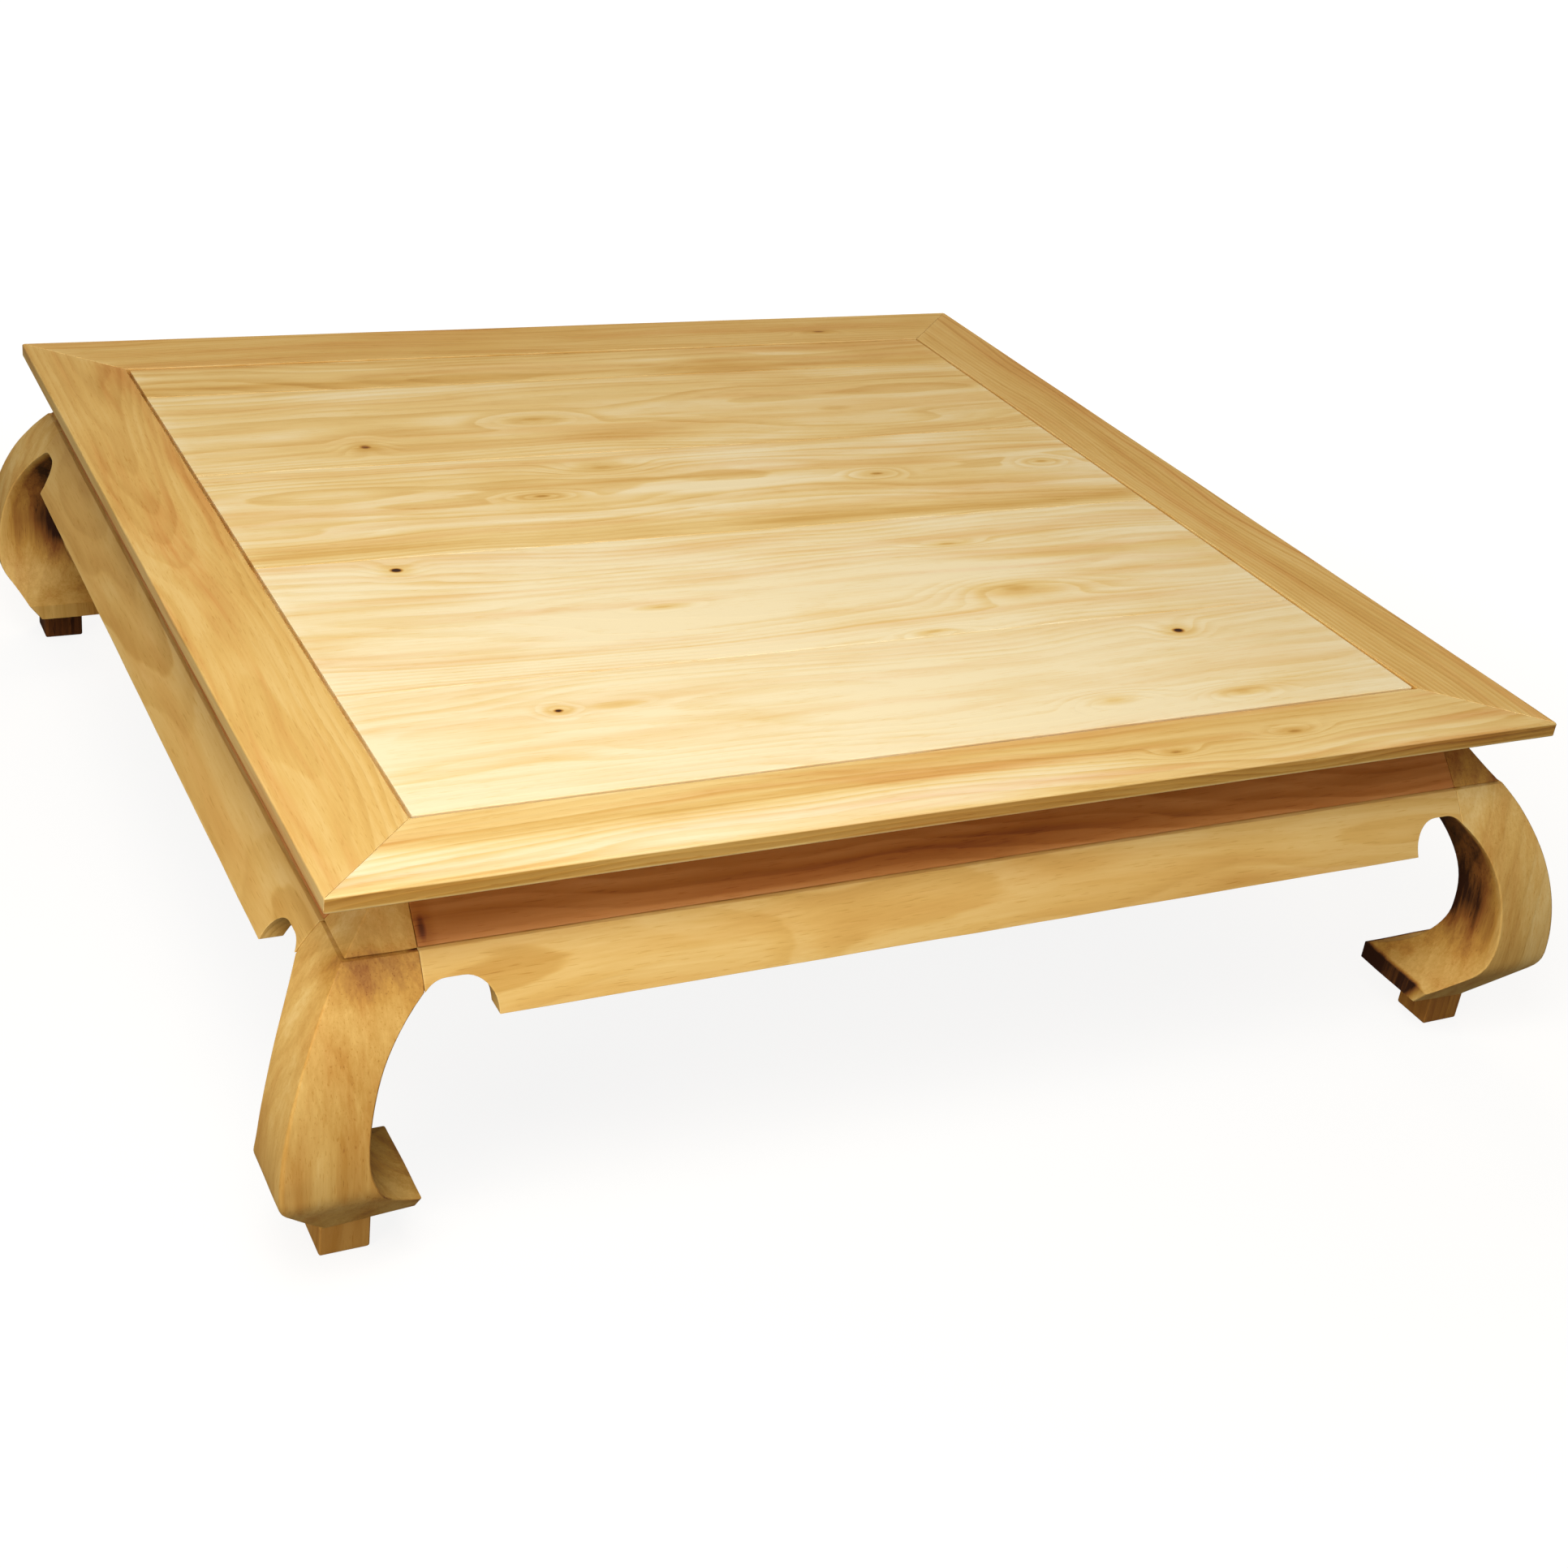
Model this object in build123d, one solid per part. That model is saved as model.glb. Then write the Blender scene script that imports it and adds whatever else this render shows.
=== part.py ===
"""Low square table of the kang type: framed top, recessed waist, bulging aprons and scroll legs.

Units are millimetres. +Z is up, the origin is on the floor under the middle of the top,
X runs along the front and Y runs from front to back.

Most outlines are drawn as (d, z): d is the distance from the edge of the top, positive
outwards, and z the height above the floor. The same curves then serve all four sides.
An "inset" is a distance from the edge of the top towards its middle.
"""

import os

from build123d import *

# ---- overall sizes -------------------------------------------------------------------------
TOP_LENGTH = 1200.0        # along X
TOP_WIDTH = 1200.0         # along Y
TABLE_HEIGHT = 345.0

FIT = 0.25                 # clearance round tongues, tenons and dowels
JOINT_GAP = 0.4            # open line between a leg and the boards that meet it

# ---- top frame -----------------------------------------------------------------------------
RAIL_WIDTH = 94.0
RAIL_THICKNESS = 27.0
EDGE_HEIGHT = 14.0         # upright part of the outer edge
EDGE_BEVEL_RUN = 25.0      # how far the bevel under the edge runs in
EDGE_ROUND = 2.0
MITRE_GAP = 0.3

RAIL_TENON_INNER = 66.0    # insets of the tenon's two sides
RAIL_TENON_OUTER = 30.0
RAIL_TENON_END = 16.0      # inset of its end
RAIL_TENON_THICKNESS = 7.0
RAIL_TENON_DROP = 8.0      # top of the table down to the tenon

# ---- panel ---------------------------------------------------------------------------------
BOARD_THICKNESS = 18.0
BOARD_SHARES = (202, 266, 227, 223, 86)   # widths from front to back, scaled to fill the frame
BOARD_SEAM = 0.2
BOARD_EDGE_BREAK = 0.6
BOARD_TONGUE = 6.0
BOARD_TONGUE_LENGTH = 7.0
BOARD_TONGUE_STOP = 10.0   # tongue between boards ends this far inside the panel's edge

PANEL_TONGUE = 7.0         # thickness of the tongue all round the panel
PANEL_TONGUE_DROP = 7.0    # top of the table down to the tongue
PANEL_TONGUE_ENTRY = 8.0   # how far the tongue sits inside the rail
PANEL_SPARE = 2.0          # room beyond the tongue for the wood to move
PANEL_SHADOW_GAP = 4.0     # open line between rail and panel

# ---- bearers under the panel ---------------------------------------------------------------
BEARER_WIDTH = 45.0
BEARER_DEPTH = 25.0
BEARER_SPACING = 300.0     # centre to centre, along X
BEARER_TENON_WIDTH = 30.0
BEARER_TENON_LENGTH = 12.0
DOVETAIL_HEIGHT = 4.0      # ridge on the bearer that holds the boards flat
DOVETAIL_NECK = 28.0
DOVETAIL_FLARE = 2.0
DOVETAIL_END = 6.0         # ridge stops this far inside the panel's edge

# ---- waist ---------------------------------------------------------------------------------
WAIST_INSET = 52.0         # inset of the upright face
WAIST_BOARD = 14.0
WAIST_DROP = 46.0          # top of the table down to the bevel
WAIST_BEVEL_RUN = 27.0
WAIST_BEVEL_DROP = 29.0
WAIST_LEDGE = 3.0          # step from the foot of the bevel out to the apron
QUIRK_HEIGHT = 1.5         # fine groove under the bevel
QUIRK_DEPTH = 3.0
WAIST_TONGUE = 6.0         # tongue in the apron's top edge
WAIST_TONGUE_LENGTH = 6.0
WAIST_TONGUE_STOP = 20.0   # tongue ends this far inside the board's end
STUB_THICKNESS = 8.0       # stub tenon in the leg
STUB_LENGTH = 8.0
STUB_HEIGHT = 20.0
WAIST_DOWEL = 6.0          # dowels up into the frame
WAIST_DOWEL_LENGTH = 24.0
WAIST_DOWEL_SPACING = 560.0

# ---- legs ----------------------------------------------------------------------------------
LEG_INSET = 82.0           # inset of the inner faces of the leg's block
BELLY_OUT = 40.0           # how far the widest part stands out past the top
BELLY_HEIGHT = 100.0
BELLY_TURN_DROP = 20.0     # short curve under the belly, before the straight run to the foot
BELLY_TURN_RUN = 7.0
HOLLOW_INSET = 31.0        # inset of the hollowed inner face
HOLLOW_FOOT = 128.0        # bottom and top of its upright stretch
HOLLOW_TOP = 136.0
SPRING_DROP = 101.0        # top of the table down to where leg and apron curves meet
TOE_TOP = 58.0
TOE_UNDER = 41.0
POST_CHEEK = 8.0           # wood round the tenon on top of the post
POST_TENON_ROOM = 2.0      # between that tenon and the frame's own tenon

# ---- foot pads -----------------------------------------------------------------------------
PAD_SIZE = 42.0
PAD_HEIGHT = 29.0
PAD_INSET = 6.0
PAD_STUB = 12.0            # round stub in the leg
PAD_STUB_TOP = 50.0

# ---- aprons --------------------------------------------------------------------------------
APRON_BOTTOM_DROP = 123.0  # top of the table down to the lower edge
APRON_THICKNESS = 20.0
APRON_BACK_LEAN = 32.0     # how far the back leans out over the apron's height
ARCH_CROWN = 7.5           # top of the arch above the spring at the leg
ARCH_RADIUS = 25.5         # at the step
ARCH_SPAN = 57.5           # leg to the step
ARCH_LEG_RUN = 18.0        # last stretch, where the arch turns down into the leg's hollow
APRON_TENON = 8.0
APRON_TENON_HEIGHT = 12.0
APRON_TENON_LENGTH = 25.0
APRON_TENON_DEPTH = 3.0    # face of the apron's top edge in to the middle of the tenon
APRON_TENON_SHOULDER = 6.0 # wood above the tenon

PEG = 5.0
PEG_INSET = 12.0           # leg's inner face to the middle of the peg
PEG_LENGTH = 62.0
PEG_STAGGER = 3.5          # each of a leg's two pegs lies this far off the tenon's middle

# ---- heights and insets that follow --------------------------------------------------------
RAIL_BOTTOM = TABLE_HEIGHT - RAIL_THICKNESS
RAIL_TENON_TOP = TABLE_HEIGHT - RAIL_TENON_DROP
RAIL_TENON_BOTTOM = RAIL_TENON_TOP - RAIL_TENON_THICKNESS
BOARD_BOTTOM = TABLE_HEIGHT - BOARD_THICKNESS
TONGUE_TOP = TABLE_HEIGHT - PANEL_TONGUE_DROP
TONGUE_BOTTOM = TONGUE_TOP - PANEL_TONGUE
TONGUE_MIDDLE = (TONGUE_TOP + TONGUE_BOTTOM) / 2
FIELD_INSET = RAIL_WIDTH + PANEL_SHADOW_GAP
TONGUE_INSET = RAIL_WIDTH - PANEL_TONGUE_ENTRY
BEARER_TENON_MIDDLE = (BOARD_BOTTOM + RAIL_BOTTOM) / 2
BEARER_TENON_THICKNESS = (BOARD_BOTTOM - RAIL_BOTTOM) * 2 / 3

BEVEL_TOP = TABLE_HEIGHT - WAIST_DROP
APRON_TOP = BEVEL_TOP - WAIST_BEVEL_DROP
BEVEL_FOOT = WAIST_INSET - WAIST_BEVEL_RUN
APRON_FACE = BEVEL_FOOT - WAIST_LEDGE
APRON_BACK = APRON_FACE + APRON_THICKNESS
WAIST_BACK = WAIST_INSET + WAIST_BOARD
WAIST_MIDDLE = (WAIST_INSET + WAIST_BACK) / 2
STUB_MIDDLE_HEIGHT = (RAIL_BOTTOM + APRON_TOP) / 2
JOINT_INSET = LEG_INSET + JOINT_GAP

POST_MIDDLE = (LEG_INSET + WAIST_INSET) / 2
POST_TENON = LEG_INSET - WAIST_INSET - 2 * POST_CHEEK
POST_TENON_TOP = RAIL_TENON_BOTTOM - POST_TENON_ROOM
SPRING = TABLE_HEIGHT - SPRING_DROP
ARCH_TOP = SPRING + ARCH_CROWN
APRON_BOTTOM = TABLE_HEIGHT - APRON_BOTTOM_DROP
APRON_TENON_MIDDLE = APRON_FACE + APRON_TENON_DEPTH
APRON_TENON_TOP = APRON_TOP - APRON_TENON_SHOULDER
APRON_TENON_BOTTOM = APRON_TENON_TOP - APRON_TENON_HEIGHT
PAD_MIDDLE = PAD_INSET + PAD_SIZE / 2
DEEP = 1.0                 # mortises run this far past the tenon's end
MERGE = 5.0                # tenons start this far inside the piece they belong to

HALF_X = TOP_LENGTH / 2
HALF_Y = TOP_WIDTH / 2
WHOLE = 2 * (TOP_LENGTH + TOP_WIDTH)       # longer than any piece

# turn from the back to each side, then half the length along the side and half the depth
SIDES = {
    "front": (180, HALF_X, HALF_Y),
    "back": (0, HALF_X, HALF_Y),
    "left": (90, HALF_Y, HALF_X),
    "right": (-90, HALF_Y, HALF_X),
}
CORNERS = {
    "front_left": (-1, -1),
    "front_right": (1, -1),
    "back_left": (-1, 1),
    "back_right": (1, 1),
}


def block(x0, x1, y0, y1, z0, z1):
    """A box between two corners."""
    centre = ((x0 + x1) / 2, (y0 + y1) / 2, (z0 + z1) / 2)
    return Pos(*centre) * Box(x1 - x0, y1 - y0, z1 - z0)


def run(outline, half_depth, length):
    """A section drawn as (d, z), set against the back edge and run along X."""
    solid = extrude(Plane.YZ * make_face(outline), amount=length / 2, both=True)
    return Pos(0, half_depth, 0) * solid


def both_ends(shape):
    """A shape and its mirror image at the other end of the same side."""
    return shape, mirror(shape, about=Plane.YZ)


def to_side(side, shape):
    """Turns a shape made at the back round to its own side."""
    return Rot(0, 0, SIDES[side][0]) * shape


def to_corner(corner, shape):
    """Mirrors a shape made at the back right corner to its own corner."""
    x_sign, y_sign = CORNERS[corner]
    if x_sign < 0:
        shape = mirror(shape, about=Plane.YZ)
    if y_sign < 0:
        shape = mirror(shape, about=Plane.XZ)
    return shape


def corners_of(side):
    """Names of the two corners at the ends of a side."""
    return [corner for corner in CORNERS if side in corner.split("_")]


# ---- joints, each shaped once for the tenon and once, a little larger, for its mortise -----
def rail_tenon(grow, end_room):
    """Tenon of the right rail in the back rail."""
    x_low = HALF_X - RAIL_TENON_INNER - grow
    x_high = HALF_X - RAIL_TENON_OUTER + grow
    y_high = HALF_Y - RAIL_TENON_END + end_room
    z_low = RAIL_TENON_BOTTOM - grow
    z_high = RAIL_TENON_TOP + grow
    return block(x_low, x_high, HALF_Y - RAIL_WIDTH, y_high, z_low, z_high)


def post_tenon(grow, end_room):
    """Square tenon on top of the back right leg."""
    size = POST_TENON / 2 + grow
    x = HALF_X - POST_MIDDLE
    y = HALF_Y - POST_MIDDLE
    return block(x - size, x + size, y - size, y + size, RAIL_BOTTOM - MERGE, POST_TENON_TOP + end_room)


def apron_tenon(side, grow, end_room):
    """Tenon at the right-hand end of an apron, made at the back."""
    _, half_length, half_depth = SIDES[side]
    x_high = half_length - LEG_INSET + APRON_TENON_LENGTH + end_room
    y = half_depth - APRON_TENON_MIDDLE
    reach = APRON_TENON / 2 + grow
    x_low = half_length - JOINT_INSET - MERGE
    return block(x_low, x_high, y - reach, y + reach, APRON_TENON_BOTTOM - grow, APRON_TENON_TOP + grow)


def waist_stub(side, grow, end_room):
    """Stub tenon at the right-hand end of a waist board, made at the back."""
    _, half_length, half_depth = SIDES[side]
    x_low = half_length - JOINT_INSET - MERGE
    x_high = half_length - LEG_INSET + STUB_LENGTH + end_room
    y = half_depth - WAIST_MIDDLE
    reach = STUB_THICKNESS / 2 + grow
    rise = STUB_HEIGHT / 2 + grow
    z = STUB_MIDDLE_HEIGHT
    return block(x_low, x_high, y - reach, y + reach, z - rise, z + rise)


def waist_dowels(side, grow, end_room):
    """Two dowels between a waist board and the rail above it, made at the back."""
    height = WAIST_DOWEL_LENGTH + 2 * end_room
    dowel = Cylinder(WAIST_DOWEL / 2 + grow, height)
    y = SIDES[side][2] - WAIST_MIDDLE
    return [Pos(x, y, RAIL_BOTTOM) * dowel for x in (-WAIST_DOWEL_SPACING / 2, WAIST_DOWEL_SPACING / 2)]


def peg(side, grow, end_room):
    """Peg through the tenon at the right-hand end of an apron, made at the back."""
    _, half_length, half_depth = SIDES[side]
    length = PEG_LENGTH + end_room
    x = half_length - LEG_INSET + PEG_INSET
    y = half_depth - LEG_INSET + length / 2
    stagger = PEG_STAGGER if side in ("front", "back") else -PEG_STAGGER
    z = (APRON_TENON_TOP + APRON_TENON_BOTTOM) / 2 + stagger
    return Pos(x, y, z) * Rot(90, 0, 0) * Cylinder(PEG / 2 + grow, length)


def bearer_tenons(grow, end_room):
    """Tenons at both ends of a bearer, as one bar along Y."""
    half = HALF_Y - RAIL_WIDTH + BEARER_TENON_LENGTH + end_room
    width = BEARER_TENON_WIDTH / 2 + grow
    rise = BEARER_TENON_THICKNESS / 2 + grow
    return block(-width, width, -half, half, BEARER_TENON_MIDDLE - rise, BEARER_TENON_MIDDLE + rise)


def dovetail(grow, end_room):
    """Ridge along the top of a bearer, wider at its top than at its neck."""
    neck = DOVETAIL_NECK / 2 + grow
    wide = neck + DOVETAIL_FLARE
    low = BOARD_BOTTOM
    high = BOARD_BOTTOM + DOVETAIL_HEIGHT + grow
    outline = Polyline((-neck, low), (neck, low), (wide, high), (-wide, high), close=True)
    half = HALF_Y - FIELD_INSET - DOVETAIL_END + end_room
    return extrude(Plane.XZ * make_face(outline), amount=half, both=True)


def pad_stub(grow, end_room):
    """Round stub on top of the back right foot pad."""
    height = PAD_STUB_TOP + end_room - PAD_HEIGHT + MERGE
    middle = PAD_HEIGHT - MERGE + height / 2
    return Pos(HALF_X - PAD_MIDDLE, HALF_Y - PAD_MIDDLE, middle) * Cylinder(PAD_STUB / 2 + grow, height)


def bearer_places():
    """X of each bearer, by name."""
    return {"left": -BEARER_SPACING, "middle": 0.0, "right": BEARER_SPACING}


# ---- top frame -----------------------------------------------------------------------------
def rail_section():
    """Rounded top arris, upright edge, bevel underneath and a groove for the panel."""
    top = TABLE_HEIGHT
    groove_bottom = TONGUE_BOTTOM - FIT
    groove_top = TONGUE_TOP + FIT
    groove_end = PANEL_TONGUE_ENTRY + PANEL_SPARE - RAIL_WIDTH
    return Curve() + [
        Polyline(
            (0, top - EDGE_ROUND),
            (0, top - EDGE_HEIGHT),
            (-EDGE_BEVEL_RUN, RAIL_BOTTOM),
            (-RAIL_WIDTH, RAIL_BOTTOM),
            (-RAIL_WIDTH, groove_bottom),
            (groove_end, groove_bottom),
            (groove_end, groove_top),
            (-RAIL_WIDTH, groove_top),
            (-RAIL_WIDTH, top),
            (-EDGE_ROUND, top),
        ),
        JernArc((-EDGE_ROUND, top), (1, 0), EDGE_ROUND, -90),
    ]


def make_rail(side):
    """One rail of the frame, mitred at both ends."""
    _, half_length, half_depth = SIDES[side]
    half = half_length - MITRE_GAP / 2
    reach = RAIL_WIDTH + MERGE
    plan = Polyline(
        (-half, half_depth),
        (half, half_depth),
        (half - reach, half_depth - reach),
        (-half + reach, half_depth - reach),
        close=True,
    )
    rail = run(rail_section(), half_depth, 2 * half_length)
    rail &= extrude(make_face(plan), amount=TABLE_HEIGHT)
    for hole in waist_dowels(side, FIT, DEEP):
        rail -= hole
    rail = to_side(side, rail)
    for corner in corners_of(side):
        if side in ("left", "right"):
            rail += to_corner(corner, rail_tenon(0, 0))
        else:
            rail -= to_corner(corner, rail_tenon(FIT, DEEP))
        rail -= to_corner(corner, post_tenon(FIT, DEEP))
    if side in ("front", "back"):
        for x in bearer_places().values():
            rail -= Pos(x, 0, 0) * bearer_tenons(FIT, DEEP)
    return rail


# ---- panel ---------------------------------------------------------------------------------
def board_edges():
    """Y of every board edge, from front to back."""
    field = TOP_WIDTH - 2 * FIELD_INSET
    edges = [-field / 2]
    for share in BOARD_SHARES:
        edges.append(edges[-1] + field * share / sum(BOARD_SHARES))
    return edges


def make_board(index):
    """One panel board, with a tongue on its back edge and a groove in its front edge."""
    edges = board_edges()
    first = index == 0
    last = index == len(BOARD_SHARES) - 1
    front = edges[index] + (0 if first else BOARD_SEAM / 2)
    back = edges[index + 1] - (0 if last else BOARD_SEAM / 2)
    top = TABLE_HEIGHT
    chip = BOARD_EDGE_BREAK
    section = Polyline(
        (front, BOARD_BOTTOM),
        (back, BOARD_BOTTOM),
        (back, top - chip),
        (back - chip, top),
        (front + chip, top),
        (front, top - chip),
        close=True,
    )
    half_field = HALF_X - FIELD_INSET
    half_tongue = HALF_X - TONGUE_INSET
    border = FIELD_INSET - TONGUE_INSET
    board = extrude(Plane.YZ * make_face(section), amount=half_field, both=True)
    low = front - (border if first else 0)
    high = back + (border if last else 0)
    board += block(-half_tongue, half_tongue, low, high, TONGUE_BOTTOM, TONGUE_TOP)
    if not last:
        board += board_tongue(back - MERGE, back + BOARD_TONGUE_LENGTH, 0, 0)
    if not first:
        board -= board_tongue(front - DEEP, front + BOARD_TONGUE_LENGTH + DEEP, FIT, DEEP)
    for x in bearer_places().values():
        board -= Pos(x, 0, 0) * dovetail(FIT, DEEP)
    return board


def board_tongue(y_low, y_high, grow, end_room):
    """Tongue between two boards, from y_low to y_high."""
    half = HALF_X - FIELD_INSET - BOARD_TONGUE_STOP + end_room
    rise = BOARD_TONGUE / 2 + grow
    return block(-half, half, y_low, y_high, TONGUE_MIDDLE - rise, TONGUE_MIDDLE + rise)


def make_bearer(x):
    """Bearer across the underside of the boards, tenoned into the front and back rails."""
    half = HALF_Y - RAIL_WIDTH - FIT
    width = BEARER_WIDTH / 2
    bearer = block(-width, width, -half, half, BOARD_BOTTOM - BEARER_DEPTH, BOARD_BOTTOM)
    bearer += bearer_tenons(0, 0)
    bearer += dovetail(0, 0)
    return Pos(x, 0, 0) * bearer


# ---- waist ---------------------------------------------------------------------------------
def make_waist_board(side):
    """Upright waist board with a bevelled foot."""
    _, half_length, half_depth = SIDES[side]
    joint = half_length - JOINT_INSET
    section = Polyline(
        (-WAIST_INSET, RAIL_BOTTOM),
        (-WAIST_INSET, BEVEL_TOP),
        (-BEVEL_FOOT, APRON_TOP + QUIRK_HEIGHT),
        (-BEVEL_FOOT - QUIRK_DEPTH, APRON_TOP + QUIRK_HEIGHT),
        (-BEVEL_FOOT - QUIRK_DEPTH, APRON_TOP),
        (-WAIST_BACK, APRON_TOP),
        (-WAIST_BACK, RAIL_BOTTOM),
        close=True,
    )
    board = run(section, half_depth, 2 * joint)
    board += waist_tongue(side, 0, 0)
    for stub in both_ends(waist_stub(side, 0, 0)):
        board += stub
    for hole in waist_dowels(side, FIT, DEEP):
        board -= hole
    return to_side(side, board)


def waist_tongue(side, grow, end_room):
    """Tongue along the foot of a waist board."""
    _, half_length, half_depth = SIDES[side]
    half = half_length - JOINT_INSET - WAIST_TONGUE_STOP + end_room
    y = half_depth - (APRON_FACE + APRON_BACK) / 2
    reach = WAIST_TONGUE / 2 + grow
    low = APRON_TOP - WAIST_TONGUE_LENGTH - end_room
    return block(-half, half, y - reach, y + reach, low, APRON_TOP + DEEP)


# ---- curves shared by legs and aprons ------------------------------------------------------
def face_curve():
    """Outer face from the belly up to the top edge of the apron."""
    return TangentArc((BELLY_OUT, BELLY_HEIGHT), (-APRON_FACE, APRON_TOP), tangent=(0, 1))


def leg_outline():
    """Side view of a leg and its post."""
    foot = (-PAD_INSET, PAD_HEIGHT)
    turn_end = (BELLY_OUT - BELLY_TURN_RUN, BELLY_HEIGHT - BELLY_TURN_DROP)
    toe = (-LEG_INSET, TOE_TOP)
    hollow_foot = (-HOLLOW_INSET, HOLLOW_FOOT)
    hollow_top = (-HOLLOW_INSET, HOLLOW_TOP)
    spring = (-LEG_INSET, SPRING)
    quirk = APRON_TOP + QUIRK_HEIGHT
    return Curve() + [
        face_curve(),
        TangentArc((BELLY_OUT, BELLY_HEIGHT), turn_end, tangent=(0, -1)),
        Polyline(turn_end, foot, (-LEG_INSET, TOE_UNDER), toe),
        TangentArc(hollow_foot, toe, tangent=(0, -1)),
        Line(hollow_foot, hollow_top),
        TangentArc(hollow_top, spring, tangent=(0, 1)),
        Polyline(
            spring,
            (-LEG_INSET, RAIL_BOTTOM),
            (-WAIST_INSET, RAIL_BOTTOM),
            (-WAIST_INSET, BEVEL_TOP),
            (-BEVEL_FOOT, quirk),
            (-BEVEL_FOOT - QUIRK_DEPTH, quirk),
            (-BEVEL_FOOT - QUIRK_DEPTH, APRON_TOP),
            (-APRON_FACE, APRON_TOP),
        ),
    ]


def apron_section():
    """Section of an apron. Below the apron's lower edge it narrows to the belly, and is cut off."""
    lean = APRON_BACK_LEAN / (APRON_TOP - APRON_BOTTOM)
    low = APRON_BOTTOM - DEEP
    back_low = -APRON_BACK + lean * (APRON_TOP - low)
    belly = (BELLY_OUT, BELLY_HEIGHT)
    top_face = (-APRON_FACE, APRON_TOP)
    return Curve() + [
        face_curve(),
        Polyline(top_face, (-APRON_BACK, APRON_TOP), (back_low, low), belly),
    ]


def apron_view(half_length):
    """Front view of an apron: a straight lower edge, then a step and an arch at each end."""
    joint = half_length - JOINT_INSET
    step = half_length - LEG_INSET - ARCH_SPAN
    flat_end = joint - ARCH_LEG_RUN
    edges = [Polyline((-joint, SPRING), (-joint, APRON_TOP), (joint, APRON_TOP), (joint, SPRING))]
    edges.append(Line((-step, APRON_BOTTOM), (step, APRON_BOTTOM)))
    for sign in (-1, 1):
        step_top = (sign * step, ARCH_TOP - ARCH_RADIUS)
        flat_start = (sign * (step + ARCH_RADIUS), ARCH_TOP)
        edges.append(Line((sign * step, APRON_BOTTOM), step_top))
        edges.append(TangentArc(step_top, flat_start, tangent=(0, 1)))
        edges.append(Line(flat_start, (sign * flat_end, ARCH_TOP)))
        edges.append(TangentArc((sign * flat_end, ARCH_TOP), (sign * joint, SPRING), tangent=(sign, 0)))
    return Curve() + edges


def make_apron(side):
    """Bulging apron with an arched lower edge, a groove on top and a tenon at each end."""
    _, half_length, half_depth = SIDES[side]
    apron = run(apron_section(), half_depth, 2 * half_length)
    apron &= extrude(Plane.XZ * make_face(apron_view(half_length)), amount=WHOLE / 2, both=True)
    apron -= waist_tongue(side, FIT, DEEP)
    for tenon in both_ends(apron_tenon(side, 0, 0)):
        apron += tenon
    for hole in both_ends(peg(side, FIT, DEEP)):
        apron -= hole
    return to_side(side, apron)


# ---- legs and feet -------------------------------------------------------------------------
def leg_body():
    """Back right leg without its joints: the same outline seen from the back and the side."""
    return run(leg_outline(), HALF_Y, WHOLE) & to_side("right", run(leg_outline(), HALF_X, WHOLE))


def make_leg(body):
    """Back right leg with its post tenon, mortises and holes."""
    leg = body + post_tenon(0, 0)
    leg -= pad_stub(FIT, DEEP)
    # the back side meets this leg with its right-hand end, the right side with its left-hand end
    for side, pick in (("back", 0), ("right", 1)):
        for joint in (apron_tenon, waist_stub, peg):
            leg -= to_side(side, both_ends(joint(side, FIT, DEEP))[pick])
    return leg


def make_pad(body):
    """Back right foot pad, its top fitted to the rising underside of the leg."""
    near = PAD_INSET + PAD_SIZE
    far = PAD_INSET
    pad = block(HALF_X - near, HALF_X - far, HALF_Y - near, HALF_Y - far, 0, TOE_UNDER)
    pad -= body
    return pad + pad_stub(0, 0)


# ---- all pieces ----------------------------------------------------------------------------
def make_parts():
    """Every piece, by node name."""
    parts = {}
    for side in SIDES:
        parts[f"top_rail_{side}"] = make_rail(side)
        parts[f"waist_board_{side}"] = make_waist_board(side)
        parts[f"apron_{side}"] = make_apron(side)
    for index, place in enumerate(("front", "front_inner", "middle", "back_inner", "back")):
        parts[f"panel_board_{index + 1}_{place}"] = make_board(index)
    for place, x in bearer_places().items():
        parts[f"bearer_{place}"] = make_bearer(x)
    body = leg_body()
    leg = make_leg(body)
    pad = make_pad(body)
    for corner in CORNERS:
        parts[f"leg_{corner}"] = to_corner(corner, leg)
        parts[f"foot_pad_{corner}"] = to_corner(corner, pad)
    dowels = []
    pegs = []
    for side in SIDES:
        dowels += [to_side(side, dowel) for dowel in waist_dowels(side, 0, 0)]
        pegs += [to_side(side, pin) for pin in both_ends(peg(side, 0, 0))]
    parts["waist_dowels"] = Compound(children=dowels)
    parts["apron_pegs"] = Compound(children=pegs)
    return parts


os.makedirs("parts", exist_ok=True)
for name, piece in make_parts().items():
    piece.label = name
    export_step(piece, f"parts/{name}.step")
    box = piece.bounding_box()
    print(name, len(piece.solids()), [round(v, 2) for v in box.min], [round(v, 2) for v in box.max])
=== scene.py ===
"""Low square kang table in planed and oiled hardwood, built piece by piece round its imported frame.

Sizes in this file are millimetres until a mesh is made, and heights are above the floor.
"d" is a distance outwards from the middle of the table, across the side a piece runs along.
"""

from math import cos, hypot, pi, radians, sin, sqrt

import bmesh
import bpy
import numpy as np
from bpy.props import FloatProperty, FloatVectorProperty, IntProperty, PointerProperty
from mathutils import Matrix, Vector, noise


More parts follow.
